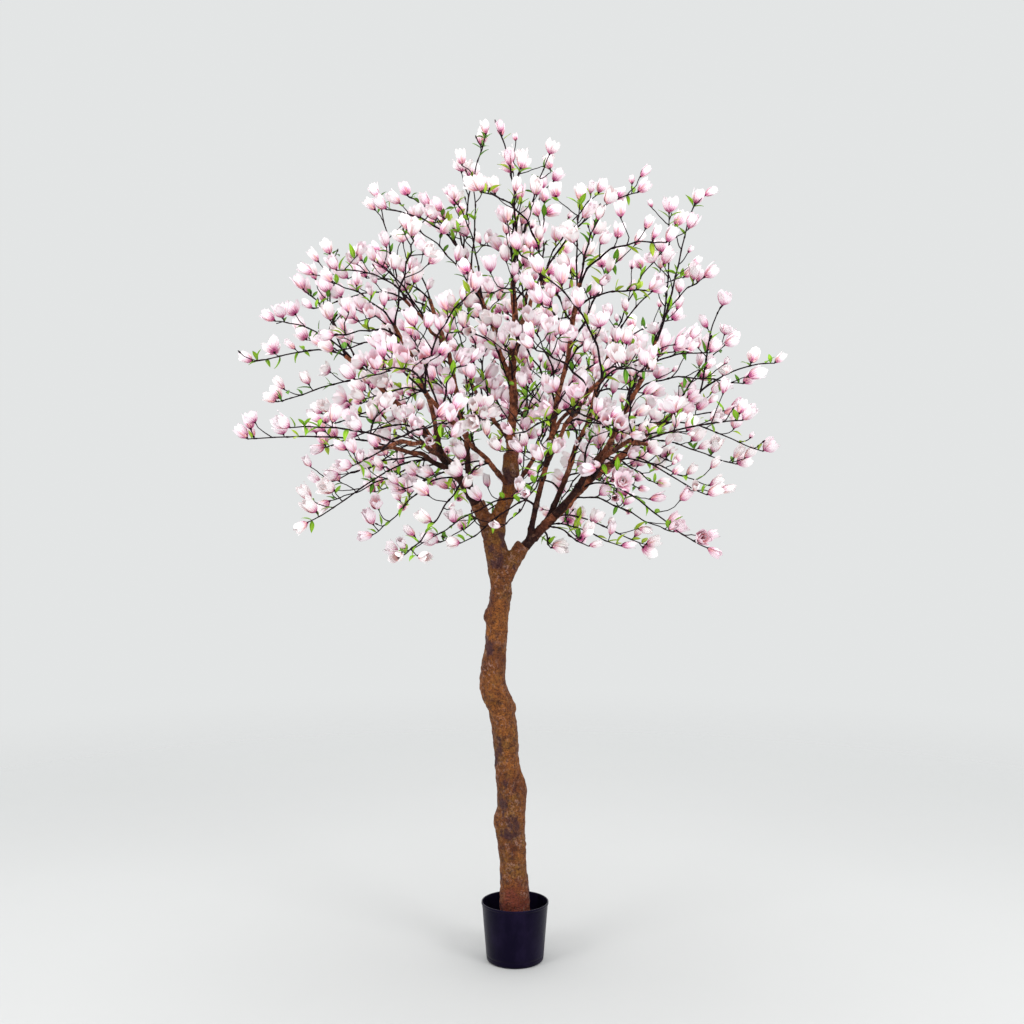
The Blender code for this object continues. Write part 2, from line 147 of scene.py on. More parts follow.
def makeSpeckle():
    # uneven spots: a noise cut between two levels
    inputs = {"Place": "Vector", "Stretch": "Vector", "Scale": "Float", "Low": "Float", "High": "Float"}
    group, given, wanted = newGroup("speckle", inputs, {"Mask": "Float"})
    grain = clouded(group, given["Place"], given["Stretch"], given["Scale"], 5.0, 0.6)
    feed(group, wanted, {"Mask": spread(group, grain, given["Low"], given["High"])})
    return group


def objectPlace(tree):
    return (tree.nodes.get("Texture Coordinate") or addNode(tree, "ShaderNodeTexCoord")).outputs["Object"]


def spots(tree, scale, low, high, tall=1.0):
    stretch = (1.0, 1.0, tall)
    values = {"Place": objectPlace(tree), "Stretch": stretch, "Scale": scale, "Low": low, "High": high}
    return addNode(tree, "ShaderNodeGroup", {"node_tree": speckle}, values).outputs["Mask"]


def mapPlace(tree, name):
    return addNode(tree, "ShaderNodeUVMap", {"uv_map": name}).outputs["UV"]


def layered(tree, colour, tints, layers):
    # lays tints over a colour, each by its mask and its share
    for mask, share, tint in layers:
        colour = blendColours(tree, sums(tree, "MULTIPLY", mask, share), colour, tints[tint])
    return colour


speckle = makeSpeckle()


# Array geometry: rings, grids and heaps that become one joined mesh
def smoothed(rows, step):
    # a Catmull-Rom curve through the rows, one row each step metres; further columns run along with it
    rows = np.asarray(rows, float)
    padded = np.vstack([2 * rows[0] - rows[1], rows, 2 * rows[-1] - rows[-2]])
    pieces = []
    for index in range(1, len(padded) - 2):
        before, here, there, after = padded[index - 1:index + 3]
        count = max(2, int(round(np.linalg.norm((there - here)[:3]) / step)))
        t = np.linspace(0.0, 1.0, count, endpoint=False)[:, None]
        bend = 2 * before - 5 * here + 4 * there - after
        turn = -before + 3 * here - 3 * there + after
        pieces.append(0.5 * (2 * here + (there - before) * t + bend * t ** 2 + turn * t ** 3))
    pieces.append(rows[-1:])
    return np.vstack(pieces)


def unit(vector):
    return vector / max(1e-9, np.linalg.norm(vector))


def summed(steps):
    return np.concatenate([[0.0], np.cumsum(steps)])


def stepsOf(path):
    return np.linalg.norm(np.diff(path, axis=0), axis=1)


def lengthsAlong(path):
    # how far each point of a path lies along it
    return summed(stepsOf(path))


def gridQuads(rows, columns, closed):
    # faces of a grid of points, row by row; closed joins the last column to the first
    wide = columns if closed else columns - 1
    row, column = np.meshgrid(np.arange(rows - 1), np.arange(wide), indexing="ij")
    nextColumn = (column + 1) % columns
    first = row * columns + column
    second = row * columns + nextColumn
    return np.stack([first, second, second + columns, first + columns], -1).reshape(-1, 4)


def capQuads(first, sides, flipped):
    # closes a ring of an even number of sides with a strip of quads
    near = first + np.arange(sides // 2 - 1)
    far = 2 * first + sides - 1 - near
    faces = np.stack([near, near + 1, far - 1, far], -1)
    return faces[:, ::-1] if flipped else faces


def closedQuads(rows, sides):
    # rings joined to one another, with both ends closed
    ends = capQuads(0, sides, True), capQuads((rows - 1) * sides, sides, False)
    return np.vstack([gridQuads(rows, sides, True), *ends])


def tube(path, radii, sides):
    # a closed run of rings along a path, carried along it without twist
    path = np.asarray(path, float)
    tangents = np.gradient(path, axis=0)
    tangents /= np.linalg.norm(tangents, axis=1)[:, None] + 1e-12
    side = np.cross(tangents[0], upward if abs(tangents[0][2]) < 0.9 else (1.0, 0.0, 0.0))
    sides3 = np.empty_like(path)
    for index, tangent in enumerate(tangents):
        side = unit(side - tangent * np.dot(side, tangent))
        sides3[index] = side
    other = np.cross(tangents, sides3)
    angle = np.arange(sides) * math.tau / sides
    around = sides3[:, None] * np.cos(angle)[None, :, None] + other[:, None] * np.sin(angle)[None, :, None]
    radii = np.broadcast_to(np.asarray(radii, float).reshape(len(path), -1), (len(path), sides))
    points = (path[:, None] + around * radii[:, :, None]).reshape(-1, 3)
    mapped = np.stack(np.broadcast_arrays((angle / math.tau)[None, :], lengthsAlong(path)[:, None]), -1)
    return points, closedQuads(len(path), sides), mapped.reshape(-1, 2)


def turned(profile, sides):
    # a profile of radius and height, turned about the z axis
    profile = np.asarray(profile)
    angle = np.arange(sides) * math.tau / sides
    ring = np.stack([np.cos(angle), np.sin(angle)], -1)
    across = profile[:, None, :1] * ring[None]
    height = np.broadcast_to(profile[:, None, 1:], (len(profile), sides, 1))
    points = np.concatenate([across, height], -1).reshape(-1, 3)
    return points, gridQuads(len(profile), sides, True)


def newHeap():
    return {"points": [], "quads": [], "maps": [], "count": 0}


def pile(heap, points, quads, mapped=None):
    heap["points"].append(points)
    heap["quads"].append(quads + heap["count"])
    heap["maps"].append(np.zeros((len(points), 2)) if mapped is None else mapped)
    heap["count"] += len(points)


def joined(heap):
    return [np.concatenate(heap[key]) for key in ("points", "quads", "maps")]


def heapMesh(name, heap, mapNames=()):
    points, quads, mapped = (part.astype(kind) for part, kind in zip(joined(heap), "fif"))
    mesh = bpy.data.meshes.new(name)
    mesh.vertices.add(len(points))
    mesh.vertices.foreach_set("co", points.ravel())
    mesh.loops.add(quads.size)
    mesh.loops.foreach_set("vertex_index", quads.ravel())
    mesh.polygons.add(len(quads))
    mesh.polygons.foreach_set("loop_start", np.arange(0, quads.size, 4, dtype=np.int32))
    mesh.update(calc_edges=True)
    for mapName in mapNames:
        layer = mesh.uv_layers.new(name=mapName)
        layer.uv.foreach_set("vector", mapped[quads].ravel())
    mesh.validate()
    mesh.shade_smooth()
    return mesh


def meshOf(name, points, quads, mapped=None, mapNames=()):
    heap = newHeap()
    pile(heap, points, quads, mapped)
    return heapMesh(name, heap, mapNames)


def addPiece(name, mesh, material, slot, *replaced):
    piece = bpy.data.objects.new(name, mesh)
    scene.collection.objects.link(piece)
    mesh.materials.clear()
    mesh.materials.append(material)
    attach(piece, "root")
    if replaced:
        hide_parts(*replaced)
    return piece


# Trunk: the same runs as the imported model, each row centre x, centre y, height, radius
trunk = {
    "stem": (
        (0.002, 0.0, 0.02, 0.05), (0.002, 0.0, 0.13, 0.052), (-0.002, 0.002, 0.25, 0.0518),
        (-0.005, 0.005, 0.33, 0.0482), (-0.014, 0.008, 0.412, 0.05), (-0.017, 0.01, 0.494, 0.0545),
        (-0.011, 0.01, 0.555, 0.0518), (-0.011, 0.009, 0.6, 0.053), (-0.021, 0.006, 0.655, 0.0495),
        (-0.029, 0.003, 0.7, 0.044), (-0.033, -0.002, 0.78, 0.0453), (-0.043, -0.007, 0.862, 0.0464),
        (-0.052, -0.009, 0.905, 0.0485), (-0.074, -0.01, 0.958, 0.049), (-0.08, -0.009, 0.99, 0.046),
        (-0.077, -0.007, 1.044, 0.0412), (-0.069, -0.003, 1.11, 0.0402), (-0.064, 0.002, 1.19, 0.0393),
        (-0.056, 0.006, 1.27, 0.039), (-0.05, 0.008, 1.33, 0.0375), (-0.058, 0.008, 1.4, 0.0395),
        (-0.066, 0.007, 1.448, 0.041), (-0.08, 0.006, 1.5, 0.0365),
    ),
    "stubs": {
        "left_stub": (
            (-0.072, 0.006, 1.47, 0.033), (-0.098, 0.004, 1.545, 0.029),
            (-0.12, 0.002, 1.592, 0.025), (-0.136, 0.0, 1.622, 0.0265),
        ),
        "centre_stub": (
            (-0.072, 0.008, 1.5, 0.033), (-0.057, 0.01, 1.572, 0.029), (-0.041, 0.012, 1.62, 0.0262),
            (-0.025, 0.012, 1.66, 0.024), (-0.015, 0.012, 1.702, 0.028), (-0.014, 0.012, 1.745, 0.0295),
            (-0.017, 0.012, 1.782, 0.0285), (-0.014, 0.012, 1.802, 0.024),
        ),
        "right_stub": (
            (-0.048, 0.006, 1.34, 0.03), (-0.02, 0.003, 1.402, 0.033),
            (0.006, -0.002, 1.444, 0.028), (0.029, -0.006, 1.477, 0.025),
        ),
        "shoulder_stub": ((-0.014, 0.012, 1.668, 0.012), (0.024, 0.016, 1.708, 0.013)),
    },
    "knots": (
        ((-0.077, -0.006, 1.222), (0.034, 0.032, 0.036)), ((0.008, -0.004, 0.592), (0.032, 0.04, 0.04)),
        ((-0.046, 0.006, 0.492), (0.03, 0.038, 0.05)), ((-0.022, 0.0, 0.895), (0.028, 0.036, 0.03)),
    ),
    # worn scars: place on the bark and radius
    "scars": (
        ((-0.071, -0.055, 0.915), 0.016), ((0.0, -0.062, 0.626), 0.014), ((-0.1, -0.05, 1.03), 0.02),
        ((0.02, 0.052, 0.76), 0.018), ((-0.03, 0.05, 1.27), 0.014), ((-0.06, -0.04, 1.4), 0.012),
        ((0.036, 0.03, 0.42), 0.018), ((-0.05, 0.04, 0.52), 0.016), ((0.03, -0.045, 0.33), 0.013),
    ),
    "sides": 28,
    "step": 0.012,
    "voxel": 0.0042,
    "smoothing": (0.5, 3),  # share and rounds
    # depth, scale and stretch along z
    "relief": ((0.0046, 17.0, 0.7), (0.0034, 44.0, 0.9), (0.0018, 105.0, 1.0)),
    # depth, place of its middle and width, as shares of a scar's radius
    "scarRim": (0.0042, 1.15, 0.28),
    "scarPit": (-0.004, 0.0, 0.75),
    "redBelow": (0.4, 0.24),
    "specular": 0.18,
    "golden": (0.285, 0.096, 0.017),
    "olive": (0.205, 0.1, 0.019),
    "brown": (0.118, 0.033, 0.011),
    "dark": (0.016, 0.006, 0.01),
    "plum": (0.046, 0.016, 0.024),
    "red": (0.195, 0.038, 0.024),
    "pale": (0.4, 0.23, 0.18),
}
runs = {name: np.asarray(rows) for name, rows in trunk["stubs"].items()}  # what boughs grow from


def knotArrays(centre, radii):
    # a closed ball stretched to its radii
    steps, sides, pole = 14, 20, 0.06
    turn = np.linspace(pole, math.pi - pole, steps)
    ball, _ = turned(np.stack([np.sin(turn), -np.cos(turn)], -1), sides)
    return np.asarray(centre) + ball * np.asarray(radii), closedQuads(steps, sides)


def evaluatedMesh(piece):
    bpy.context.view_layer.update()
    graph = bpy.context.evaluated_depsgraph_get()
    return bpy.data.meshes.new_from_object(piece.evaluated_get(graph), depsgraph=graph)


def reliefAt(place, layers, shift=0.0):
    at = Vector(place)
    total = 0.0
    for depth, scale, stretch in layers:
        total += depth * noise.noise(Vector((at.x, at.y, at.z * stretch)) * scale + Vector((shift, 0.0, 0.0)))
    return total


def scarDepth(place):
    # a shallow pit with a raised rim round each scar
    total = 0.0
    for centre, radius in trunk["scars"]:
        away = (Vector(place) - Vector(centre)).length / radius
        if away < 2.2:
            for depth, middle, width in (trunk["scarRim"], trunk["scarPit"]):
                total += depth * math.exp(-((away - middle) / width) ** 2)
    return total


def trunkMesh():
    heap = newHeap()
    for rows in (trunk["stem"], *trunk["stubs"].values()):
        path = smoothed(rows, trunk["step"])
        pile(heap, *tube(path[:, :3], path[:, 3], trunk["sides"]))
    for centre, radii in trunk["knots"]:
        pile(heap, *knotArrays(centre, radii))
    raw = bpy.data.objects.new("rawTrunk", heapMesh("rawTrunk", heap))
    scene.collection.objects.link(raw)
    merge = raw.modifiers.new("merge", "REMESH")
    merge.mode = "VOXEL"
    merge.voxel_size = trunk["voxel"]
    ease = raw.modifiers.new("ease", "SMOOTH")
    ease.factor, ease.iterations = trunk["smoothing"]
    mesh = evaluatedMesh(raw)
    bpy.data.objects.remove(raw)
    for vertex, normal in [(v, v.normal.copy()) for v in mesh.vertices]:
        here = vertex.co.copy()
        vertex.co = here + normal * (reliefAt(here, trunk["relief"]) + scarDepth(here))
    mesh.update()
    mesh.shade_smooth()
    return mesh


def barkSkin(tree):
    clouds = spots(tree, 11.0, 0.36, 0.62, 0.6)
    grain = spots(tree, 95.0, 0.35, 0.65, 0.7)
    flecks = spots(tree, 210.0, 0.52, 0.62, 1.4)
    paleParts = spots(tree, 14.0, 0.4, 0.6, 0.8)
    paleFlecks = sums(tree, "MULTIPLY", paleParts, spots(tree, 85.0, 0.5, 0.64, 0.8))
    height = coordinates(tree, objectPlace(tree))["Z"]
    lowDown = spread(tree, sums(tree, "MULTIPLY_ADD", clouds, 0.1, height), *trunk["redBelow"])
    layers = (
        (spots(tree, 8.0, 0.46, 0.62, 1.3), 0.65, "olive"),
        (spots(tree, 40.0, 0.5, 0.66, 1.2), 0.62, "dark"),
        (lowDown, 0.85, "red"),
        (grain, 0.6, "brown"),
        (paleFlecks, 0.5, "pale"),
        (spots(tree, 14.0, 0.54, 0.64, 0.75), 0.8, "plum"),
        (flecks, 0.75, "dark"),
    )
    base = blendColours(tree, clouds, trunk["brown"], trunk["golden"])
    raised = sums(tree, "ADD", grain, sums(tree, "MULTIPLY", flecks, -0.7))
    return {
        "Base Color": layered(tree, base, trunk, layers),
        "Roughness": spread(tree, grain, 0.0, 1.0, 0.52, 0.74),
        "Specular IOR Level": trunk["specular"],
        "Normal": bumped(tree, raised, 0.0024, 1.0),
    }


barkMaterial = newMaterial("mouldedBark", barkSkin)
addPiece("trunkBark", trunkMesh(), barkMaterial, "moulded_bark", "trunk", "trunk_foot")
print("trunk done")


# Pot: outer wall from the flat underside up to the lip, then down the inside to below the cement
pot = {
    "profile": (
        (0.002, 0.0), (0.05, 0.0), (0.086, 0.0), (0.0925, 0.0), (0.0962, 0.0008), (0.099, 0.0027),
        (0.1008, 0.0055), (0.1016, 0.009), (0.1022, 0.016), (0.1025, 0.0176), (0.1017, 0.0186),
        (0.1018, 0.0204), (0.1029, 0.0214), (0.1034, 0.03), (0.1068, 0.07), (0.1101, 0.11), (0.1134, 0.15),
        (0.116, 0.183), (0.1172, 0.1975), (0.1174, 0.1996), (0.119, 0.2003), (0.1196, 0.2014),
        (0.1197, 0.206), (0.1192, 0.2076), (0.1181, 0.208), (0.1166, 0.208), (0.1156, 0.2074),
        (0.1152, 0.2062), (0.1149, 0.199), (0.1131, 0.175), (0.1098, 0.135), (0.1078, 0.11),
    ),
    "sides": 96,
    "black": (0.003, 0.0022, 0.0085),
    "dusty": (0.009, 0.006, 0.02),
    "glint": (0.5, 0.38, 0.9),
    "specular": 0.11,
}


def potMesh():
    points, quads = turned(pot["profile"], pot["sides"])
    return meshOf("potShell", points, np.vstack([quads, capQuads(0, pot["sides"], True)]))


def potSkin(tree):
    dust = spots(tree, 14.0, 0.42, 0.75, 0.5)
    return {
        "Base Color": blendColours(tree, dust, pot["black"], pot["dusty"]),
        "Roughness": spread(tree, dust, 0.0, 1.0, 0.3, 0.46),
        "Specular IOR Level": pot["specular"],
        "Specular Tint": pot["glint"],
        "Normal": bumped(tree, spots(tree, 420.0, 0.35, 0.7), 0.0003, 0.35),
    }


addPiece("potShell", potMesh(), newMaterial("potPlastic", potSkin), "pot_plastic", "pot")

# Cement round the trunk's foot: an uneven cast top
cement = {
    "level": 0.1165,
    "edge": 0.02,  # how far its rim reaches down
    "inner": 0.04,
    "outer": 0.1082,
    "rings": 18,
    "sides": 96,
    "relief": ((0.003, 22.0, 1.0), (0.0016, 75.0, 1.0), (0.001, 190.0, 1.0)),
    "pale": (0.115, 0.098, 0.085),
    "dark": (0.04, 0.033, 0.03),
}


def cementMesh():
    radius = np.linspace(cement["outer"], cement["inner"], cement["rings"])
    rings = [(cement["outer"], cement["level"] - cement["edge"])] + [(r, cement["level"]) for r in radius]
    points, quads = turned(rings, cement["sides"])
    for point in points[cement["sides"]:]:
        point[2] += reliefAt(point, cement["relief"])
    return meshOf("cementCast", points, quads)


def cementSkin(tree):
    stains, grit = spots(tree, 60.0, 0.35, 0.65), spots(tree, 380.0, 0.4, 0.7)
    return {
        "Base Color": blendColours(tree, stains, cement["dark"], cement["pale"]),
        "Roughness": spread(tree, grit, 0.0, 1.0, 0.8, 0.96),
        "Normal": bumped(tree, sums(tree, "ADD", stains, grit), 0.0014, 0.9),
    }


addPiece("cementCast", cementMesh(), newMaterial("castCement", cementSkin), "cement", "ballast")
print("pot done")


# Boughs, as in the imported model: what each grows from, how far along that, its tip, bow upwards
# and sway sideways of its middle, radius at its foot and tip, and how much of its foot is dark
boughs = {
    "leader": ("centre_stub", 0.86, (-0.004, 0.02, 2.49), 0.0, 0.006, 0.018, 0.009, 0.0),
    "right_bough": ("right_stub", 0.66, (0.668, 0.05, 2.009), 0.03, 0.01, 0.0185, 0.0085, 0.16),
    "right_upper_bough": ("right_bough", 0.17, (0.359, 0.25, 2.206), 0.004, 0.02, 0.0105, 0.007, 0.2),
    "right_middle_bough": ("right_bough", 0.22, (0.488, -0.15, 2.183), -0.04, 0.015, 0.0125, 0.0065, 0.3),
    "right_front_bough": ("right_bough", 0.07, (0.212, -0.35, 2.344), 0.026, -0.02, 0.0105, 0.007, 0.22),
    "right_back_bough": ("shoulder_stub", 0.45, (0.295, 0.42, 2.08), 0.03, 0.02, 0.0085, 0.006, 0.1),
    "left_bough": ("left_stub", 0.8, (-0.599, -0.05, 2.144), 0.034, 0.01, 0.0175, 0.007, 0.26),
    "left_low_bough": ("left_bough", 0.2, (-0.463, -0.32, 1.805), 0.032, 0.01, 0.0095, 0.006, 0.2),
    "left_rising_bough": ("left_bough", 0.08, (-0.324, 0.3, 2.403), 0.022, 0.02, 0.0115, 0.007, 0.2),
    "left_front_bough": ("left_bough", 0.33, (-0.404, -0.28, 2.217), 0.012, -0.02, 0.009, 0.006, 0.12),
    "left_fork_bough": ("left_rising_bough", 0.68, (-0.403, 0.12, 2.371), 0.01, 0.0, 0.0062, 0.005, 0.1),
    "front_left_bough": ("centre_stub", 0.62, (-0.288, -0.45, 1.974), 0.02, 0.02, 0.0095, 0.006, 0.05),
    "back_left_bough": ("leader", 0.1, (-0.174, 0.38, 2.095), 0.02, -0.02, 0.009, 0.006, 0.1),
    "leader_left_bough": ("leader", 0.34, (-0.185, 0.0, 2.511), 0.012, 0.01, 0.0092, 0.008, 0.06),
    "leader_right_bough": ("leader", 0.6, (0.09, -0.12, 2.395), -0.012, 0.01, 0.008, 0.0062, 0.1),
    "leader_back_bough": ("leader", 0.48, (0.05, 0.33, 2.45), 0.02, 0.01, 0.0075, 0.0058, 0.1),
    "back_bough": ("centre_stub", 0.74, (0.05, 0.58, 2.03), 0.04, 0.01, 0.01, 0.006, 0.1),
    "back_low_left_bough": ("left_bough", 0.14, (-0.38, 0.5, 1.87), 0.04, 0.0, 0.0095, 0.006, 0.15),
    "back_low_right_bough": ("right_bough", 0.36, (0.42, 0.48, 1.86), 0.04, 0.0, 0.0095, 0.006, 0.15),
    "front_right_bough": ("right_front_bough", 0.3, (0.27, -0.56, 2.01), 0.024, 0.0, 0.0078, 0.0056, 0.1),
    "front_low_left_bough": ("left_bough", 0.27, (-0.42, -0.5, 1.79), 0.05, 0.0, 0.009, 0.0058, 0.15),
    "front_low_right_bough": ("right_bough", 0.44, (0.42, -0.44, 1.81), 0.05, 0.0, 0.009, 0.0058, 0.15),
}
boughWork = {
    "stations": 8,
    "kink": 0.006,
    "kinkTurn": 2.4,
    "sink": 0.35,
    "sides": 14,
    "step": 0.0065,
    "relief": ((0.12, 34.0, 1.0), (0.13, 110.0, 1.0), (0.08, 260.0, 1.0)),  # as shares of the radius
    "flare": (0.3, 0.022),  # how much wider the foot is, and over what length
    "knotEvery": 0.085,
    "knotFirst": (0.05, 0.08),
    "knotShift": 0.02,
    "knotSwell": (0.1, 0.28),
    "knotLength": 0.008,
    "footShade": 0.85,
    "specular": 0.12,
    "reddish": (0.31, 0.096, 0.044),
    "pale": (0.45, 0.215, 0.125),
    "dark": (0.007, 0.0025, 0.004),
}


def alongRun(rows, share):
    # the row at a share of the run's length
    steps = stepsOf(rows[:, :3])
    left = share * steps.sum()
    for index, step in enumerate(steps):
        if left <= step or index == len(steps) - 1:
            return rows[index] + (rows[index + 1] - rows[index]) * min(1.0, left / step)
        left -= step


def boughRun(name, order):
    host, along, tip, bow, sway, footRadius, tipRadius, _ = boughs[name]
    held = alongRun(runs[host], along)
    start, tip = held[:3], np.asarray(tip)
    chord = unit(tip - start)
    sideways = unit(np.cross(chord, upward))
    upwards = unit(np.cross(sideways, chord))
    start = start + chord * held[3] * boughWork["sink"]
    middle = (start + tip) / 2.0 + 2.0 * (upwards * bow + sideways * sway)
    rows = []
    for station in range(boughWork["stations"]):
        t = station / (boughWork["stations"] - 1)
        turn = boughWork["kinkTurn"] * station + order
        swing = math.sin(math.pi * t) * boughWork["kink"]
        at = start * (1.0 - t) ** 2 + middle * 2.0 * t * (1.0 - t) + tip * t * t
        at = at + (sideways * math.cos(turn) + upwards * math.sin(turn)) * swing
        rows.append((*at, footRadius + (tipRadius - footRadius) * t))
    return np.array(rows)


def boughMesh(name, order):
    rng = np.random.default_rng(40 + order)
    path = smoothed(runs[name], boughWork["step"])
    length = lengthsAlong(path[:, :3])
    swell, reach = boughWork["flare"]
    radius = path[:, 3] * (1.0 + swell * np.exp(-(length / reach) ** 2))
    first, last = boughWork["knotFirst"]
    shift = boughWork["knotShift"]
    knots = np.arange(first + (last - first) * rng.random(), length[-1] - shift, boughWork["knotEvery"])
    for knot in knots + rng.uniform(-shift, shift, len(knots)):
        bump = np.exp(-((length - knot) / boughWork["knotLength"]) ** 2)
        radius *= 1.0 + rng.uniform(*boughWork["knotSwell"]) * bump
    points, quads, mapped = tube(path[:, :3], radius, boughWork["sides"])
    centres = np.repeat(path[:, :3], boughWork["sides"], axis=0)
    for point, centre in zip(points, centres):
        point[:] = centre + (point - centre) * (1.0 + reliefAt(point, boughWork["relief"], 3.0 * order))
    return meshOf(name, points, quads, mapped, ("boughMap",))


def woodSkin(tree, darkFoot):
    clouds, grain = spots(tree, 30.0, 0.4, 0.6), spots(tree, 110.0, 0.38, 0.62)
    layers = [(clouds, 0.78, "dark"), (spots(tree, 48.0, 0.56, 0.66), 0.7, "pale"), (grain, 0.55, "dark")]
    if darkFoot:
        along = coordinates(tree, mapPlace(tree, "boughMap"))["Y"]
        reach = sums(tree, "MULTIPLY_ADD", clouds, 0.06, along)
        layers.append((spread(tree, reach, darkFoot + 0.05, darkFoot - 0.05), boughWork["footShade"], "dark"))
    return {
        "Base Color": layered(tree, boughWork["reddish"], boughWork, layers),
        "Roughness": spread(tree, grain, 0.0, 1.0, 0.6, 0.85),
        "Specular IOR Level": boughWork["specular"],
        "Normal": bumped(tree, sums(tree, "ADD", grain, clouds), 0.0014, 1.0),
    }


woodMaterials = {}
for order, name in enumerate(boughs):
    runs[name] = boughRun(name, order)
    darkFoot = boughs[name][7]
    if darkFoot not in woodMaterials:
        woodMaterials[darkFoot] = newMaterial("naturalWood", woodSkin, darkFoot)
    words = name.split("_")
    pieceName = words[0] + "".join(word.capitalize() for word in words[1:])
    addPiece(pieceName, boughMesh(name, order), woodMaterials[darkFoot], "natural_wood", name)
print("boughs done")


# Sprays of blossom. Every spray is grown to a tip, from the limb that suits it best. These are the
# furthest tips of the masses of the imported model
massTips = {
    "top": (-0.11, 0.0, 2.998), "top_right": (0.141, -0.06, 2.905), "top_left": (-0.217, -0.19, 2.713),
    "high_left": (-0.509, 0.05, 2.79), "high_right": (0.325, 0.08, 2.81), "high_back": (0.08, 0.56, 2.74),
    "shoulder_left": (-0.69, 0.08, 2.587), "shoulder_right": (0.656, -0.05, 2.73),
    "shoulder_back": (-0.52, 0.56, 2.64), "shoulder_front_left": (-0.3, -0.68, 2.48),
    "shoulder_front_right": (0.26, -0.68, 2.52), "upper_left": (-0.882, -0.12, 2.29),
    "upper_right": (0.68, 0.26, 2.527), "outer_right": (0.729, -0.15, 2.358),
    "tip_left": (-0.985, 0.0, 2.16), "tip_right": (0.967, 0.0, 2.165), "side_left": (-0.964, -0.15, 1.893),
    "side_right": (0.912, -0.1, 1.845), "side_back_left": (-0.8, 0.46, 2.02),
    "side_back_right": (0.8, 0.46, 2.06), "side_front_left": (-0.74, -0.62, 1.88),
    "side_front_right": (0.74, -0.6, 1.92), "front_left": (-0.4, -0.93, 2.04),
    "front_right": (0.38, -0.94, 2.04), "back_middle": (0.04, 0.94, 2.24),
    "back_left": (-0.42, 0.76, 2.33), "back_right": (0.52, 0.74, 2.36), "low_left": (-0.734, -0.3, 1.528),
    "low_right": (0.702, -0.26, 1.68), "low_back": (0.0, 0.8, 1.7), "low_back_left": (-0.48, 0.8, 1.62),
    "low_back_right": (0.48, 0.8, 1.6), "foot_left": (-0.384, -0.55, 1.454),
    "foot_right": (0.677, -0.36, 1.45),
}

# Further tips that give the crown its outline between them
outlineTips = (
    (-0.052, 0.012, 2.99), (0.02, -0.06, 2.745), (0.1, 0.04, 2.76), (-0.02, -0.12, 2.66),
    (0.37, -0.15, 2.51), (-0.44, -0.2, 1.7), (0.03, -0.1, 2.85), (0.165, 0.05, 2.83), (0.22, -0.25, 2.7),
    (0.47, -0.12, 2.745), (0.53, -0.2, 2.67), (0.55, 0.2, 2.62), (0.66, -0.05, 2.45), (0.8, 0.05, 2.24),
    (0.845, -0.06, 2.08), (0.83, 0.1, 2.0), (0.855, 0.08, 1.79), (0.745, -0.05, 1.7), (0.6, -0.1, 1.56),
    (0.53, 0.05, 1.5), (0.43, -0.05, 1.48), (0.31, -0.08, 1.49), (0.19, 0.05, 1.49), (-0.4, 0.0, 2.77),
    (-0.395, -0.1, 2.63), (-0.52, -0.05, 2.53), (-0.76, 0.0, 2.43), (-0.75, -0.1, 2.335),
    (-0.79, 0.08, 2.26), (-0.895, -0.04, 2.01), (-0.78, 0.1, 1.9), (-0.72, -0.1, 1.81),
    (-0.72, -0.12, 1.73), (-0.7, -0.08, 1.6), (-0.545, -0.15, 1.505), (-0.46, -0.05, 1.48),
    (-0.245, -0.1, 1.49), (-0.33, 0.25, 1.5), (0.26, 0.4, 1.5), (-0.08, -0.45, 1.56), (-0.16, 0.06, 2.86),
    (0.02, 0.12, 2.93),
)

# Blooms: how often, then for the outer petals, the inner ones and the core the count, petal length,
# half width, and the petal's angle from the bloom's axis at foot, middle and tip
blooms = {
    "bud": (0.11, (3, 0.03, 0.007, 32, 2, -16), (2, 0.027, 0.006, 24, 0, -14)),
    "closed": (0.29, (3, 0.055, 0.0125, 36, 5, -13), (3, 0.05, 0.0115, 30, 2, -16)),
    "tulip": (0.37, (3, 0.061, 0.016, 46, 9, -12), (3, 0.057, 0.015, 40, 3, -20)),
    "wide": (
        0.11, (4, 0.058, 0.016, 54, 18, -5), (4, 0.054, 0.0145, 44, 8, -12), (3, 0.04, 0.01, 26, 2, -14),
    ),
    "open": (
        0.04, (4, 0.055, 0.0165, 64, 32, 4), (5, 0.05, 0.015, 50, 14, -10), (4, 0.04, 0.012, 30, 4, -16),
    ),
    "rosette": (
        0.08, (5, 0.048, 0.017, 68, 34, -4), (6, 0.043, 0.0135, 50, 12, -22), (4, 0.036, 0.0115, 28, 2, -22),
    ),
}
petalWork = {
    "rows": 8,
    "columns": 5,
    "seeds": 5,
    "footRadius": 0.0034,
    "tightest": 0.0085,  # the least radius that a petal wraps round
    "mapInner": 0.5,
    "size": (0.87, 1.13),
    "length": (0.93, 1.05),
    "width": (0.92, 1.06),
    "tipOut": (-4, 16),  # degrees that the last stretch turns outwards
    "tipFrom": 0.82,
    "cup": {"bud": 0.62, "closed": 0.86},  # size of the green cup, elsewhere 1
}
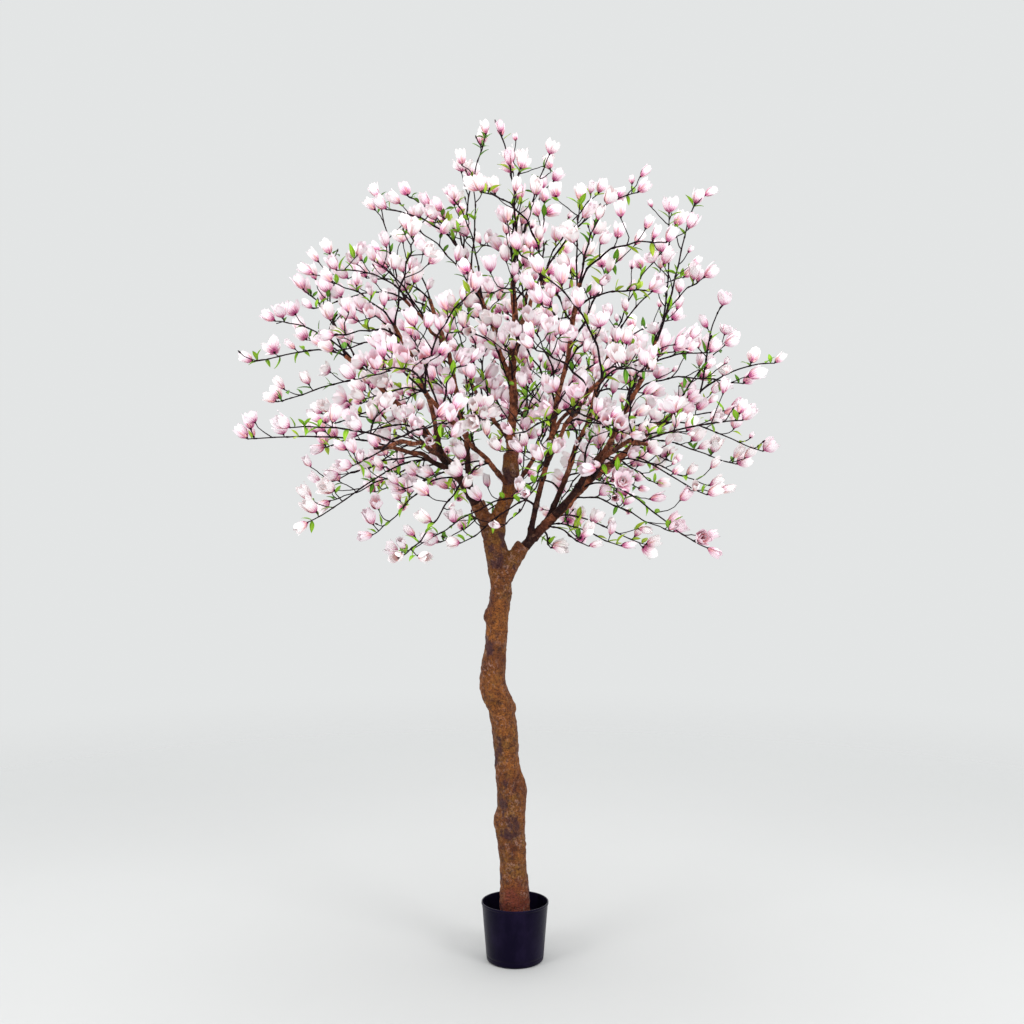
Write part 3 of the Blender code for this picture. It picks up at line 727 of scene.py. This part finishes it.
# Colours of each tint, in the order of the parts that silkWork names
petalTints = {
    "pale": ((0.42, 0.045, 0.18), (0.85, 0.47, 0.61), (0.945, 0.87, 0.9), (0.93, 0.5, 0.47)),
    "blush": ((0.38, 0.035, 0.16), (0.82, 0.4, 0.56), (0.935, 0.83, 0.875), (0.92, 0.44, 0.43)),
    "rosy": ((0.34, 0.028, 0.14), (0.78, 0.31, 0.48), (0.915, 0.75, 0.815), (0.9, 0.37, 0.38)),
    "cream": ((0.46, 0.065, 0.2), (0.87, 0.54, 0.64), (0.955, 0.9, 0.905), (0.94, 0.54, 0.48)),
}
leafTints = {
    "bright": ((0.24, 0.5, 0.012), (0.075, 0.22, 0.006), (0.42, 0.6, 0.08)),
    "deep": ((0.085, 0.25, 0.008), (0.03, 0.12, 0.004), (0.22, 0.43, 0.035)),
    "yellow": ((0.35, 0.5, 0.022), (0.15, 0.3, 0.008), (0.52, 0.64, 0.1)),
}
silkWork = {
    "petals": {
        "parts": ("Foot", "Middle", "Tip", "Heart"),
        "bump": (0.0004, 0.35),
        "skin": {"Sheen Weight": 0.15, "Sheen Roughness": 0.4, "Specular IOR Level": 0.15},
    },
    "leaves": {
        "parts": ("Blade", "Foot", "Midrib"),
        "bump": (0.0008, 0.6),
        "skin": {"Specular IOR Level": 0.18},
    },
}
sprayWork = {
    "seed": 77,
    "petalShares": (0.34, 0.27, 0.12, 0.27),  # how often each tint
    "leafShares": (0.5, 0.25, 0.25),
    "sides": 6,
    "stem": (0.0036, 0.002),  # radius at foot and tip
    "stemStep": 0.0085,
    "stemFlare": (0.5, 0.02),  # how much wider the foot is, and over what length
    "stemKnot": (0.55, 0.0045),
    "twig": (0.0022, 0.0015),
    "twigStep": 0.013,
    "twigBend": 0.17,
    "twigEnd": 1.25,
    "nodeEvery": {"outline": 0.055, "fill": 0.046},
    "firstNode": 0.17,
    "shortNodes": 0.32,  # up to here a node has a short twig, up to twigNodes a long one, else leaves only
    "twigNodes": 0.84,
    "shortTwig": (0.008, 0.026),
    "longTwig": (0.035, 0.105),
    "twinTwig": (0.02, 0.034),
    "twins": 0.45,  # how often a second bloom stands beside the one at the tip
    "endTuft": 0.64,  # how often leaves stand below a twig's bloom
    "nodeLeaf": 0.35,
    "kink": 0.0042,
    "sway": 0.07,
    "arch": (0.1, 0.2),  # low down and high up in the crown
    "archHeights": (1.9, 2.6),
    "pathTries": 4,
    "tipKinds": ("closed", "tulip", "tulip", "wide"),
    "closedAbove": 2.95,
    "tipSize": (0.9, 1.06),
    "tipSpare": 0.007,
    "spareSize": 0.82,  # of the smaller bloom that is tried where the first has no room
    "foot": 0.003,
    "cupDepth": 0.002,
    "clear": 0.018,  # between a bloom's middle and other limbs
    "leafClear": 0.025,
    "leaf": (0.036, 0.056, 0.008),  # shortest and longest, half width
    "leafBelow": 0.014,
    "leafStock": 5,
    "margin": 0.006,
    "spacing": 0.039,
    "bloomsWanted": 960,
    "fillLimit": 250,
    "tries": 16,
    "reach": {"outline": 0.42, "fill": 0.31},  # the length a spray would best have
    "hostEvery": 0.045,
    "hostFirst": 0.13,
    "hostLast": 0.99,
    "hostWay": 0.12,  # how far back along its limb a host's way is measured from
    "hostApart": 0.06,
    "steepest": -0.38,  # how far down a spray goes for each metre along, at ease
    "forward": 0.45,  # the least that a spray runs on with its limb, at ease
    "outward": 0.1,
    "costs": {"length": 1.6, "droop": 2.5, "turn": 0.45, "inward": 0.4, "use": 0.12, "fill": 0.25},
    "crown": ((-0.02, 0.0, 2.12), (0.83, 0.82, 0.72)),
    "crownFill": 0.58,  # smaller draws chance places outwards
    "lowerHalf": 1.24,  # how much deeper the crown is below its middle than above
    "lowest": 1.49,
    "flatGap": 0.8,  # the weight of a gap as the reference view shows it
}
# Dark and pale colour and roughness of the twigs, and of the blooms' cups
twigTints = ((0.006, 0.002, 0.004), (0.026, 0.009, 0.011), (0.5, 0.75))
calyxTints = ((0.014, 0.0025, 0.007), (0.06, 0.007, 0.022), (0.45, 0.65))

# Spaces that show bare limbs: low and high corner, and the share of blooms kept there
bareSpaces = (
    ((-0.17, -1.0, 1.4), (0.14, 0.3, 1.64), 0.18),
    ((-0.1, -1.0, 1.64), (0.06, 0.0, 1.78), 0.45),
    ((-0.045, -1.0, 1.78), (0.045, -0.02, 2.12), 0.7),
)


def petalArrays(shape, spin, inner, rng):
    _, length, halfWidth, foot, middle, tip = shape
    rows, columns = petalWork["rows"], petalWork["columns"]
    along = np.linspace(0.0, 1.0, rows)
    down = along[:, None]
    across = np.linspace(-1.0, 1.0, columns)[None]
    step = length * rng.uniform(*petalWork["length"]) / (rows - 1)
    bends = (foot, middle + rng.normal(0, 3), tip + rng.normal(0, 7))
    angles = np.radians(np.interp(along, (0.0, 0.45, 1.0), bends))
    tipFrom = petalWork["tipFrom"]
    tipOut = math.radians(rng.uniform(*petalWork["tipOut"]))
    angles += tipOut * np.clip(along - tipFrom, 0.0, 1.0) / (1.0 - tipFrom)
    radius = petalWork["footRadius"] + summed(np.sin(angles[:-1]) * step)
    height = summed(np.cos(angles[:-1]) * step)
    width = 0.3 + 0.7 * np.sin(math.pi * np.clip(along / 1.22, 0.0, 1.0))
    width *= np.sqrt(np.clip(1.0 - (np.clip(along - 0.6, 0.0, 1.0) / 0.405) ** 2.4, 0.004, 1.0))
    width *= halfWidth * rng.uniform(*petalWork["width"])
    wrapped = across * width[:, None] / np.maximum(radius, petalWork["tightest"])[:, None]
    edge = across ** 2 * down
    # one edge lies inside its neighbour and the other outside it
    out = radius[:, None] * (1.0 + 0.1 * edge * (0.4 if inner else 1.0) + 0.085 * across)
    out = out + 0.001 * np.sin(9.0 * down + 3.0 * across + rng.uniform(0, 6)) * np.abs(across)
    turn = spin + np.clip(wrapped, -1.4, 1.4) + rng.normal(0, 0.1) * down
    up = height[:, None] - 0.1 * width[:, None] * across ** 2
    points = np.stack([out * np.cos(turn), out * np.sin(turn), up], -1).reshape(-1, 3)
    u = (across + 1.0) * 0.23 + 0.02 + (petalWork["mapInner"] if inner else 0.0)
    return points, np.stack(np.broadcast_arrays(u, down * 0.96 + 0.02), -1).reshape(-1, 2)


def bloomArrays(kind, seed):
    rng = np.random.default_rng(900 + seed)
    heap = newHeap()
    quads = gridQuads(petalWork["rows"], petalWork["columns"], False)
    for inner, shape in enumerate(blooms[kind][1:]):
        first = rng.uniform(0, math.tau) if not inner else first + math.pi / shape[0]
        for petal in range(shape[0]):
            spin = first + petal * math.tau / shape[0] + rng.normal(0, 0.08)
            points, mapped = petalArrays(shape, spin, bool(inner), rng)
            pile(heap, points, quads, mapped)
    return joined(heap)


def calyxArrays():
    # a small dark cup with pointed lobes
    rings = ((0.0018, -0.005), (0.0036, 0.0), (0.0058, 0.0045), (0.0068, 0.009), (0.0078, 0.014))
    sides = 10
    points, quads = turned(rings, sides)
    points[-sides:, 2] += np.where(np.arange(sides) % 2, -0.0036, 0.0016)
    return points, np.vstack([quads, capQuads(0, sides, True)])


def budArrays():
    # a small closed dark bud
    rings = ((0.0013, 0.0), (0.003, 0.0025), (0.0036, 0.0065), (0.0025, 0.011), (0.0007, 0.015))
    points, _ = turned(rings, sprayWork["sides"])
    return points, closedQuads(len(rings), sprayWork["sides"])


def leafArrays(seed):
    rng = np.random.default_rng(70 + seed)
    rows, columns = 9, 5
    along = np.linspace(0.0, 1.0, rows)
    across = np.linspace(-1.0, 1.0, columns)[None]
    width = np.sin(math.pi * along ** 0.85) ** 0.95 * rng.uniform(0.85, 1.15) + 0.05
    bend = rng.uniform(0.1, 0.9) * along
    step = 1.0 / (rows - 1)
    forward = summed(np.cos(bend[:-1]) * step)[:, None]
    sink = summed(np.sin(bend[:-1]) * step)[:, None]
    fold = rng.uniform(0.25, 0.65)
    x = across * width[:, None] * sprayWork["leaf"][2] / 0.05
    z = np.abs(x) * fold - sink + 0.02 * np.sin(7.0 * along[:, None] + seed) * across
    points = np.stack(np.broadcast_arrays(x, forward, z), -1).reshape(-1, 3)
    mapped = np.stack(np.broadcast_arrays((across + 1.0) * 0.48 + 0.02, along[:, None] * 0.96 + 0.02), -1)
    return points, gridQuads(rows, columns, False), mapped.reshape(-1, 2)


bloomStock = {
    kind: [bloomArrays(kind, 10 * order + seed) for seed in range(petalWork["seeds"])]
    for order, kind in enumerate(blooms)
}
leafStock = [leafArrays(seed) for seed in range(sprayWork["leafStock"])]
calyx, bud = calyxArrays(), budArrays()
petalHeaps = {tint: newHeap() for tint in petalTints}
leafHeaps = {tint: newHeap() for tint in leafTints}
twigHeap, calyxHeap = newHeap(), newHeap()
bloomPlaces = [np.array((0.0, 0.0, -9.0))]  # the middles of the blooms, after one far off
stemPlaces = []  # rows of a limb's points, each with the radius there
leafWishes = []
boxLow = np.asarray(cadBox[0]) - sprayWork["margin"]
boxHigh = np.asarray(cadBox[1]) + sprayWork["margin"]


def turnedTo(direction, spin):
    # rows are the sideways, forward and up axes of a piece that points along direction
    up = unit(direction)
    side = unit(np.cross(up, (1.0, 0.0, 0.0) if abs(up[0]) < 0.8 else (0.0, 1.0, 0.0)))
    other = np.cross(up, side)
    cosine, sine = math.cos(spin), math.sin(spin)
    return np.stack([side * cosine + other * sine, other * cosine - side * sine, up])


def wander(rng, size):
    return rng.normal(0.0, size, 3)


def isBare(place, rng):
    for low, high, kept in bareSpaces:
        if (place > low).all() and (place < high).all():
            return rng.random() > kept
    return False


def growBloom(at, direction, tint, rng, kind=None, size=None):
    # adds a bloom on its cup where there is room for it, and tells whether there was
    kinds = list(blooms)
    chances = np.array([blooms[k][0] for k in kinds])
    picked = kind or kinds[rng.choice(len(kinds), p=chances / chances.sum())]
    shape, quads, mapped = bloomStock[picked][rng.integers(petalWork["seeds"])]
    size = size or rng.uniform(*petalWork["size"])
    axes = turnedTo(direction, rng.uniform(0, math.tau))
    foot = at + axes[2] * sprayWork["foot"]
    points = shape * size @ axes + foot + axes[2] * sprayWork["cupDepth"]
    middle = points.mean(axis=0)
    crowded = np.linalg.norm(np.array(bloomPlaces) - middle, axis=1).min() < sprayWork["spacing"]
    limbs = np.vstack(stemPlaces)
    gap = (np.linalg.norm(limbs[:, :3] - middle, axis=1) - limbs[:, 3]).min()
    outside = (points < boxLow).any() or (points > boxHigh).any()
    if crowded or gap < sprayWork["clear"] * size or outside or isBare(middle, rng):
        return False
    bloomPlaces.append(middle)
    pile(petalHeaps[tint], points, quads, mapped)
    cup, cupQuads = calyx
    pile(calyxHeap, cup * size * petalWork["cup"].get(picked, 1.0) @ axes + foot, cupQuads)
    return True


def growLeaf(at, direction, tint, rng):
    shape, quads, mapped = leafStock[rng.integers(len(leafStock))]
    forward = unit(direction)
    side = unit(np.cross(forward, upward) + wander(rng, 0.25))
    side = unit(side - forward * np.dot(side, forward))
    axes = np.stack([side, forward, np.cross(side, forward)])
    points = shape * rng.uniform(*sprayWork["leaf"][:2]) @ axes + at
    if (points > boxLow).all() and (points < boxHigh).all():
        leafWishes.append((tint, points, quads, mapped))


def placeLeaves():
    # keeps the leaves that stay clear of every bloom
    middles = np.array(bloomPlaces)
    for tint, points, quads, mapped in leafWishes:
        gaps = np.linalg.norm(points[::4, None] - middles[None], axis=2)
        if gaps.min() > sprayWork["leafClear"]:
            pile(leafHeaps[tint], points, quads, mapped)


def growLeaves(at, direction, count, tint, rng):
    base = turnedTo(direction, rng.uniform(0, math.tau))
    for leaf in range(count):
        angle = leaf * math.tau / max(2, count) + rng.normal(0, 0.4)
        outwards = base[0] * math.cos(angle) + base[1] * math.sin(angle)
        growLeaf(at, unit(direction) * 0.7 + outwards * rng.uniform(0.6, 1.3) + upward * 0.35, tint, rng)


def growTuft(path, way, most, tint, rng):
    # leaves a little below a path's end
    run = lengthsAlong(path[::-1])
    at = np.array([np.interp(sprayWork["leafBelow"], run, column) for column in np.asarray(path)[::-1].T])
    growLeaves(at, way, rng.integers(1, most + 1), tint, rng)


def growTwig(start, direction, length, rise, rng):
    # a thin side twig that turns upwards; returns its path and the way it points at its end
    steps = max(3, int(length / sprayWork["twigStep"]))
    at, way = np.array(start), unit(direction)
    path = [at]
    for _ in range(steps):
        way = unit(way + upward * rise / steps + wander(rng, sprayWork["twigBend"]))
        at = at + way * length / steps
        path.append(at)
    radii = np.linspace(*sprayWork["twig"], len(path))
    radii[-1] *= sprayWork["twigEnd"]
    pile(twigHeap, *tube(path, radii, sprayWork["sides"]))
    return path, way


def stemPath(start, leave, end, nodeCount, rng):
    # an arching stem, kinked from side to side at its nodes, with its last stretch nearly level
    chord = end - start
    length = np.linalg.norm(chord)
    level = math.hypot(chord[0], chord[1]) / length
    arch = np.interp(end[2], sprayWork["archHeights"], sprayWork["arch"])
    t = np.linspace(0.0, 1.0, max(10, int(length / sprayWork["stemStep"])))[:, None]
    zigzag = np.abs((t * nodeCount) % 2.0 - 1.0) * 2.0 - 1.0
    fade = np.clip(np.minimum(t * 8.0, (1.0 - t) * 8.0), 0.0, 1.0)
    outward = np.array((chord[0], chord[1], 0.0)) / length
    best, bestGap = None, -1.0
    for _ in range(sprayWork["pathTries"]):
        lift = upward * length * level * arch * rng.uniform(0.3, 1.3)
        sway = unit(np.cross(chord, upward)) * length * rng.normal(0.0, sprayWork["sway"])
        first = start + leave * length * 0.3 + lift + sway
        last = end - unit(outward * 0.7 + chord / length * 0.6) * length * 0.28 + lift * 0.5 + sway
        path = start * (1 - t) ** 3 + first * 3 * t * (1 - t) ** 2
        path = path + last * 3 * t ** 2 * (1 - t) + end * t ** 3
        side = unit(np.cross(chord, upward) + wander(rng, 0.6))
        path = path + side * zigzag * fade * sprayWork["kink"]
        gap = np.linalg.norm(path[3:, None] - np.array(bloomPlaces)[None], axis=2).min()
        if gap > bestGap:
            best, bestGap = path, gap
    return best


def growStem(path, places):
    # the stem itself, thicker at its foot and at its nodes
    run = lengthsAlong(path)
    swell, reach = sprayWork["stemFlare"]
    radii = np.linspace(*sprayWork["stem"], len(path)) * (1.0 + swell * np.exp(-(run / reach) ** 2))
    swell, reach = sprayWork["stemKnot"]
    for share in places:
        radii *= 1.0 + swell * np.exp(-((run - share * run[-1]) / reach) ** 2)
    pile(twigHeap, *tube(path, radii, sprayWork["sides"]))
    stemPlaces.append(np.hstack([path, np.zeros((len(path), 1))]))


def growTwin(path, beside, tint, rng):
    # a second bloom that forks off just below the one at a stem's tip
    ahead = unit(path[-1] - path[-4]) + beside * 1.2
    twig, way = growTwig(path[-4], ahead, rng.uniform(*sprayWork["twinTwig"]), 0.4, rng)
    growBloom(twig[-1], way + upward * 0.3, tint, rng)


def growNode(at, way, turnedLeft, outward, tints, rng):
    # a side twig with its bloom, or leaves only
    petalTint, leafTint = tints
    roll = (1 if turnedLeft else -1) * rng.uniform(0.6, 1.7)
    upSide = unit(upward - way * way[2] + 1e-6)
    side = upSide * math.cos(roll) + np.cross(way, upSide) * math.sin(roll)
    draw = rng.random()
    if draw >= sprayWork["twigNodes"]:
        growLeaves(at, way + side, rng.integers(1, 4), leafTint, rng)
        return
    if draw < sprayWork["shortNodes"]:
        ahead = way * 0.45 + upward * 0.45 + side * 0.5
        twig, twigWay = growTwig(at, ahead, rng.uniform(*sprayWork["shortTwig"]), 0.3, rng)
    else:
        twig, twigWay = growTwig(at, way * 0.7 + side * 0.9, rng.uniform(*sprayWork["longTwig"]), 0.4, rng)
    facing = twigWay * 0.6 + upward * rng.uniform(0.15, 0.6) + outward * 0.25 + wander(rng, 0.24)
    if not growBloom(twig[-1], facing, petalTint, rng):
        points, quads = bud
        pile(calyxHeap, points @ turnedTo(twigWay, 0.0) + twig[-1], quads)
    if rng.random() < sprayWork["endTuft"]:
        growTuft(twig, twigWay, 2, leafTint, rng)
    if rng.random() < sprayWork["nodeLeaf"]:
        growLeaves(at, way - side * 0.6, 1, leafTint, rng)


def growSpray(start, ahead, tip, kind, rng):
    # a stem from a limb to its tip, with a bloom there and a twig or leaves at every node
    tip = np.asarray(tip, float)
    petalTint = list(petalTints)[rng.choice(len(petalTints), p=sprayWork["petalShares"])]
    leafTint = list(leafTints)[rng.choice(len(leafTints), p=sprayWork["leafShares"])]
    chord = tip - start
    outward = unit(np.array((chord[0], chord[1], 0.0)) + 1e-6)
    endWay = unit(unit(chord) * 0.7 + upward * rng.uniform(0.1, 0.5) + wander(rng, 0.12))
    kinds = sprayWork["tipKinds"]
    tipKind = "closed" if tip[2] > sprayWork["closedAbove"] else kinds[rng.integers(len(kinds))]
    tipSize = rng.uniform(*sprayWork["tipSize"])
    tall = max(shape[:, 2].max() for shape, _, _ in bloomStock[tipKind]) * tipSize + sprayWork["tipSpare"]
    end = tip - endWay * tall
    leave = unit(ahead * 0.7 + unit(chord) * 0.8 + upward * 0.1)
    nodeCount = max(4, int(round(np.linalg.norm(end - start) / sprayWork["nodeEvery"][kind])))
    path = stemPath(start, leave, end, nodeCount, rng)
    run = lengthsAlong(path)
    places = [(k + 0.5 * rng.random()) / nodeCount for k in range(1, nodeCount)]
    places = [share for share in places if share > sprayWork["firstNode"]]
    growStem(path, places)
    if not growBloom(end, endWay, petalTint, rng, tipKind, tipSize):
        growBloom(end, endWay, petalTint, rng, "closed", sprayWork["spareSize"])
    growTuft(path, endWay, 3, leafTint, rng)
    if rng.random() < sprayWork["twins"]:
        growTwin(path, turnedTo(endWay, rng.uniform(0, math.tau))[0], petalTint, rng)
    for order, share in enumerate(places):
        index = min(len(path) - 2, int(np.searchsorted(run, share * run[-1])))
        way = unit(path[index + 1] - path[index])
        growNode(path[index], way, order % 2, outward, (petalTint, leafTint), rng)


def hostPoints():
    # places along the boughs that a spray may grow from, with the way the bough runs there
    places, ways = [], []
    for name in boughs:
        rows = runs[name]
        length = stepsOf(rows[:, :3]).sum()
        first = sprayWork["hostFirst"] / length
        count = max(2, int(length * (1.0 - first) / sprayWork["hostEvery"]))
        for share in np.linspace(first, sprayWork["hostLast"], count):
            places.append(alongRun(rows, share)[:3])
            ways.append(unit(rows[-1][:3] - alongRun(rows, max(0.0, share - sprayWork["hostWay"]))[:3]))
    return np.array(places), np.array(ways)


def bestHost(tip, reach, places, ways, uses):
    # the limb place whose spray would have an easy length, not droop steeply and run on with the limb
    costs = sprayWork["costs"]
    chords = np.asarray(tip) - places
    lengths = np.linalg.norm(chords, axis=1)
    units = chords / lengths[:, None]
    forward = (units * ways).sum(axis=1)
    level = places[:, :2]
    outward = (units[:, :2] * level).sum(axis=1) / (np.linalg.norm(level, axis=1) + 0.1)
    cost = np.abs(lengths - reach) * costs["length"] + uses * costs["use"]
    cost += np.clip(sprayWork["steepest"] - units[:, 2], 0.0, 1.0) * costs["droop"]
    cost += np.clip(sprayWork["forward"] - forward, 0.0, 2.0) * costs["turn"]
    cost += np.clip(sprayWork["outward"] - outward, 0.0, 2.0) * costs["inward"]
    best = int(np.argmin(cost))
    return best, cost[best]


def growTo(tip, kind, hosts, rng):
    places, ways, uses = hosts
    best, _ = bestHost(tip, sprayWork["reach"][kind], *hosts)
    away = np.linalg.norm(places - places[best], axis=1)
    uses += np.exp(-(away / sprayWork["hostApart"]) ** 2)
    growSpray(places[best], ways[best], tip, kind, rng)


def emptiestPlace(hosts, rng):
    # of some chance places in the crown, the one that is furthest from every bloom and easily reached
    centre, radii = (np.asarray(part) for part in sprayWork["crown"])
    best, bestScore = None, -9.0
    for _ in range(sprayWork["tries"]):
        place = unit(wander(rng, 1.0)) * rng.random() ** sprayWork["crownFill"] * radii
        place = centre + place * (1.0, 1.0, sprayWork["lowerHalf"] if place[2] < 0.0 else 1.0)
        if place[2] < sprayWork["lowest"] or isBare(place, rng):
            continue
        away = np.array(bloomPlaces) - place
        gap = np.linalg.norm(away, axis=1).min()
        gap += sprayWork["flatGap"] * np.linalg.norm(away[:, ::2], axis=1).min()
        score = gap - sprayWork["costs"]["fill"] * bestHost(place, sprayWork["reach"]["fill"], *hosts)[1]
        if score > bestScore:
            best, bestScore = place, score
    return best


def growAllSprays():
    rng = np.random.default_rng(sprayWork["seed"])
    places, ways = hostPoints()
    hosts = (places, ways, np.zeros(len(places)))
    for rows in runs.values():
        stemPlaces.append(smoothed(rows, trunk["step"]))
    for tip in (massTips["top"], *outlineTips, *list(massTips.values())[1:]):
        growTo(tip, "outline", hosts, rng)
    outlineBlooms = len(bloomPlaces) - 1
    fills = 0
    while len(bloomPlaces) <= sprayWork["bloomsWanted"] and fills < sprayWork["fillLimit"]:
        tip = emptiestPlace(hosts, rng)
        fills += 1
        if tip is not None:
            growTo(tip, "fill", hosts, rng)
    placeLeaves()
    print("outline blooms:", outlineBlooms, "fill sprays:", fills, "blooms:", len(bloomPlaces) - 1)


def silkGroup(name, kind):
    # a new shade for silk: its group, its sockets, and the place across and along a petal or leaf
    inputs = {"Map": "Vector", **dict.fromkeys(silkWork[kind]["parts"], "Color")}
    outputs = {"Colour": "Color", "Height": "Float", "Roughness": "Float"}
    group, given, wanted = newGroup(name, inputs, outputs)
    across, along, _ = coordinates(group, given["Map"])
    return group, given, wanted, across, along


def makePetalShade():
    # one silk petal on its own map: left half outer petals, right half the inner ones
    group, given, wanted, across, along = silkGroup("petalShade", "petals")
    streak = clouded(group, given["Map"], (20.0, 1.3, 1.0), 1.0, 3.0, 0.6)
    pushed = sums(group, "MULTIPLY_ADD", streak, 1.2, sums(group, "ADD", along, -0.6))
    lower = blendColours(group, spread(group, pushed, 0.12, 0.38), given["Foot"], given["Middle"])
    outer = blendColours(group, spread(group, pushed, 0.24, 0.62), lower, given["Tip"])
    inner = blendColours(group, spread(group, pushed, 0.1, 0.8), given["Heart"], given["Tip"])
    waves = {"Vector": given["Map"], "Scale": 7.0, "Distortion": 1.5}
    ribs = addNode(group, "ShaderNodeTexWave", {"bands_direction": "X"}, waves)
    isInner = sums(group, "GREATER_THAN", across, petalWork["mapInner"])
    feed(group, wanted, {
        "Colour": blendColours(group, isInner, outer, inner),
        "Height": sums(group, "ADD", ribs.outputs["Fac"], streak),
        "Roughness": spread(group, streak, 0.3, 0.7, 0.5, 0.66),
    })
    return group


def makeLeafShade():
    # one silk leaf on its own map: pale midrib, side veins, darker towards the foot
    group, given, wanted, across, along = silkGroup("leafShade", "leaves")
    fromMiddle = sums(group, "ABSOLUTE", sums(group, "SUBTRACT", across, 0.5))
    veinPlace = sums(group, "MULTIPLY_ADD", fromMiddle, -0.8, along)
    veins = sums(group, "SINE", sums(group, "MULTIPLY", veinPlace, 75.0))
    clouds = clouded(group, given["Map"], (1.0, 1.0, 1.0), 4.0)
    footShare = spread(group, sums(group, "MULTIPLY_ADD", clouds, 0.5, along), 0.2, 0.9)
    blade = blendColours(group, footShare, given["Foot"], given["Blade"])
    veined = blendColours(group, spread(group, veins, 0.72, 1.0, 0.0, 0.35), blade, given["Midrib"])
    ridge = spread(group, fromMiddle, 0.09, 0.0)
    feed(group, wanted, {
        "Colour": blendColours(group, spread(group, fromMiddle, 0.07, 0.02), veined, given["Midrib"]),
        "Height": sums(group, "ADD", ridge, sums(group, "MULTIPLY", veins, 0.25)),
        "Roughness": spread(group, clouds, 0.3, 0.7, 0.38, 0.55),
    })
    return group


def silkSkin(tree, kind, group, colours):
    work = silkWork[kind]
    values = {"Map": mapPlace(tree, "sprayMap"), **dict(zip(work["parts"], colours))}
    shade = addNode(tree, "ShaderNodeGroup", {"node_tree": group}, values).outputs
    return {
        "Base Color": shade["Colour"],
        "Roughness": shade["Roughness"],
        "Normal": bumped(tree, shade["Height"], *work["bump"]),
        **work["skin"],
    }


def twigSkin(tree, dark, pale, roughness):
    grain = spots(tree, 420.0, 0.35, 0.7)
    return {
        "Base Color": blendColours(tree, spots(tree, 70.0, 0.4, 0.7), dark, pale),
        "Roughness": spread(tree, grain, 0.0, 1.0, *roughness),
        "Specular IOR Level": 0.08,
        "Normal": bumped(tree, grain, 0.0006, 0.8),
    }


growAllSprays()
massNodes = ["blossom_" + name for name in massTips]
for name, heap, skinName, tints in (
    ("sprayTwigs", twigHeap, "twigSkin", twigTints),
    ("bloomCups", calyxHeap, "calyxSkin", calyxTints),
):
    addPiece(name, heapMesh(name, heap), newMaterial(skinName, twigSkin, *tints), "twig")
for kind, slot, group, tints, heaps, nodes in (
    ("petals", "blossom", makePetalShade(), petalTints, petalHeaps, massNodes),
    ("leaves", "leaf", makeLeafShade(), leafTints, leafHeaps, ()),
):
    for order, (tint, colours) in enumerate(tints.items()):
        name = kind + tint.capitalize()
        mesh = heapMesh(name, heaps[tint], ("sprayMap", "OFBake"))
        silk = newMaterial(name, silkSkin, kind, group, colours)
        addPiece(name, mesh, silk, slot, *nodes[order::len(tints)])
print("sprays done")


# Studio: a plain pale floor, an even pale surround and soft lights
studio = {
    "floorRadius": 7.0,
    "floorFade": (1.6, 6.6),  # where the floor starts and ends to melt into the surround
    "floor": (0.54, 0.545, 0.54),
    "floorShade": 0.985,
    "backdrop": (0.77, 0.785, 0.785),  # what the camera sees of the surround
    "surround": (0.98, 0.99, 1.0),  # what lights the plant
    "surroundStrength": 1.12,
    # name, place, size, power
    "lights": (
        ("frontRight", (3.4, -3.6, 4.2), 2.4, 120.0),
        ("frontLeft", (-3.6, -3.2, 3.8), 2.4, 90.0),
        ("overhead", (0.0, 0.6, 5.6), 3.0, 70.0),
    ),
    "aim": (0.0, 0.0, 1.5),
}


def floorSkin(tree):
    away = addNode(tree, "ShaderNodeVectorMath", {"operation": "LENGTH"}, {0: objectPlace(tree)})
    darker = tuple(part * studio["floorShade"] for part in studio["floor"])
    return {
        "Alpha": spread(tree, away.outputs["Value"], *studio["floorFade"], 1.0, 0.0),
        "Base Color": blendColours(tree, spots(tree, 0.8, 0.2, 0.8), darker, studio["floor"]),
        "Roughness": 0.9,
        "Specular IOR Level": 0.1,
    }


def addFloor():
    floorMesh = bmesh.new()
    bmesh.ops.create_circle(floorMesh, cap_ends=True, segments=96, radius=studio["floorRadius"])
    mesh = bpy.data.meshes.new("studioFloor")
    floorMesh.to_mesh(mesh)
    floorMesh.free()
    floor = bpy.data.objects.new("studioFloor", mesh)
    scene.collection.objects.link(floor)
    mesh.materials.append(newMaterial("studioFloor", floorSkin))


def addLights():
    for name, place, size, power in studio["lights"]:
        light = bpy.data.lights.new(name, "AREA")
        light.shape = "DISK"
        light.size = size
        light.energy = power
        holder = bpy.data.objects.new(name, light)
        holder.location = place
        holder.rotation_euler = (Vector(studio["aim"]) - Vector(place)).to_track_quat("-Z", "Y").to_euler()
        scene.collection.objects.link(holder)


def addSurround():
    world = bpy.data.worlds.new("studioSurround")
    world.use_nodes = True
    tree = world.node_tree
    fromCamera = addNode(tree, "ShaderNodeLightPath").outputs["Is Camera Ray"]
    lit = tuple(part * studio["surroundStrength"] for part in studio["surround"])
    seen = blendColours(tree, fromCamera, lit, studio["backdrop"])
    feed(tree, tree.nodes["Background"].inputs, {"Color": seen})
    scene.world = world
    scene.view_settings.view_transform = "Standard"


addFloor()
addLights()
addSurround()
print("studio done")
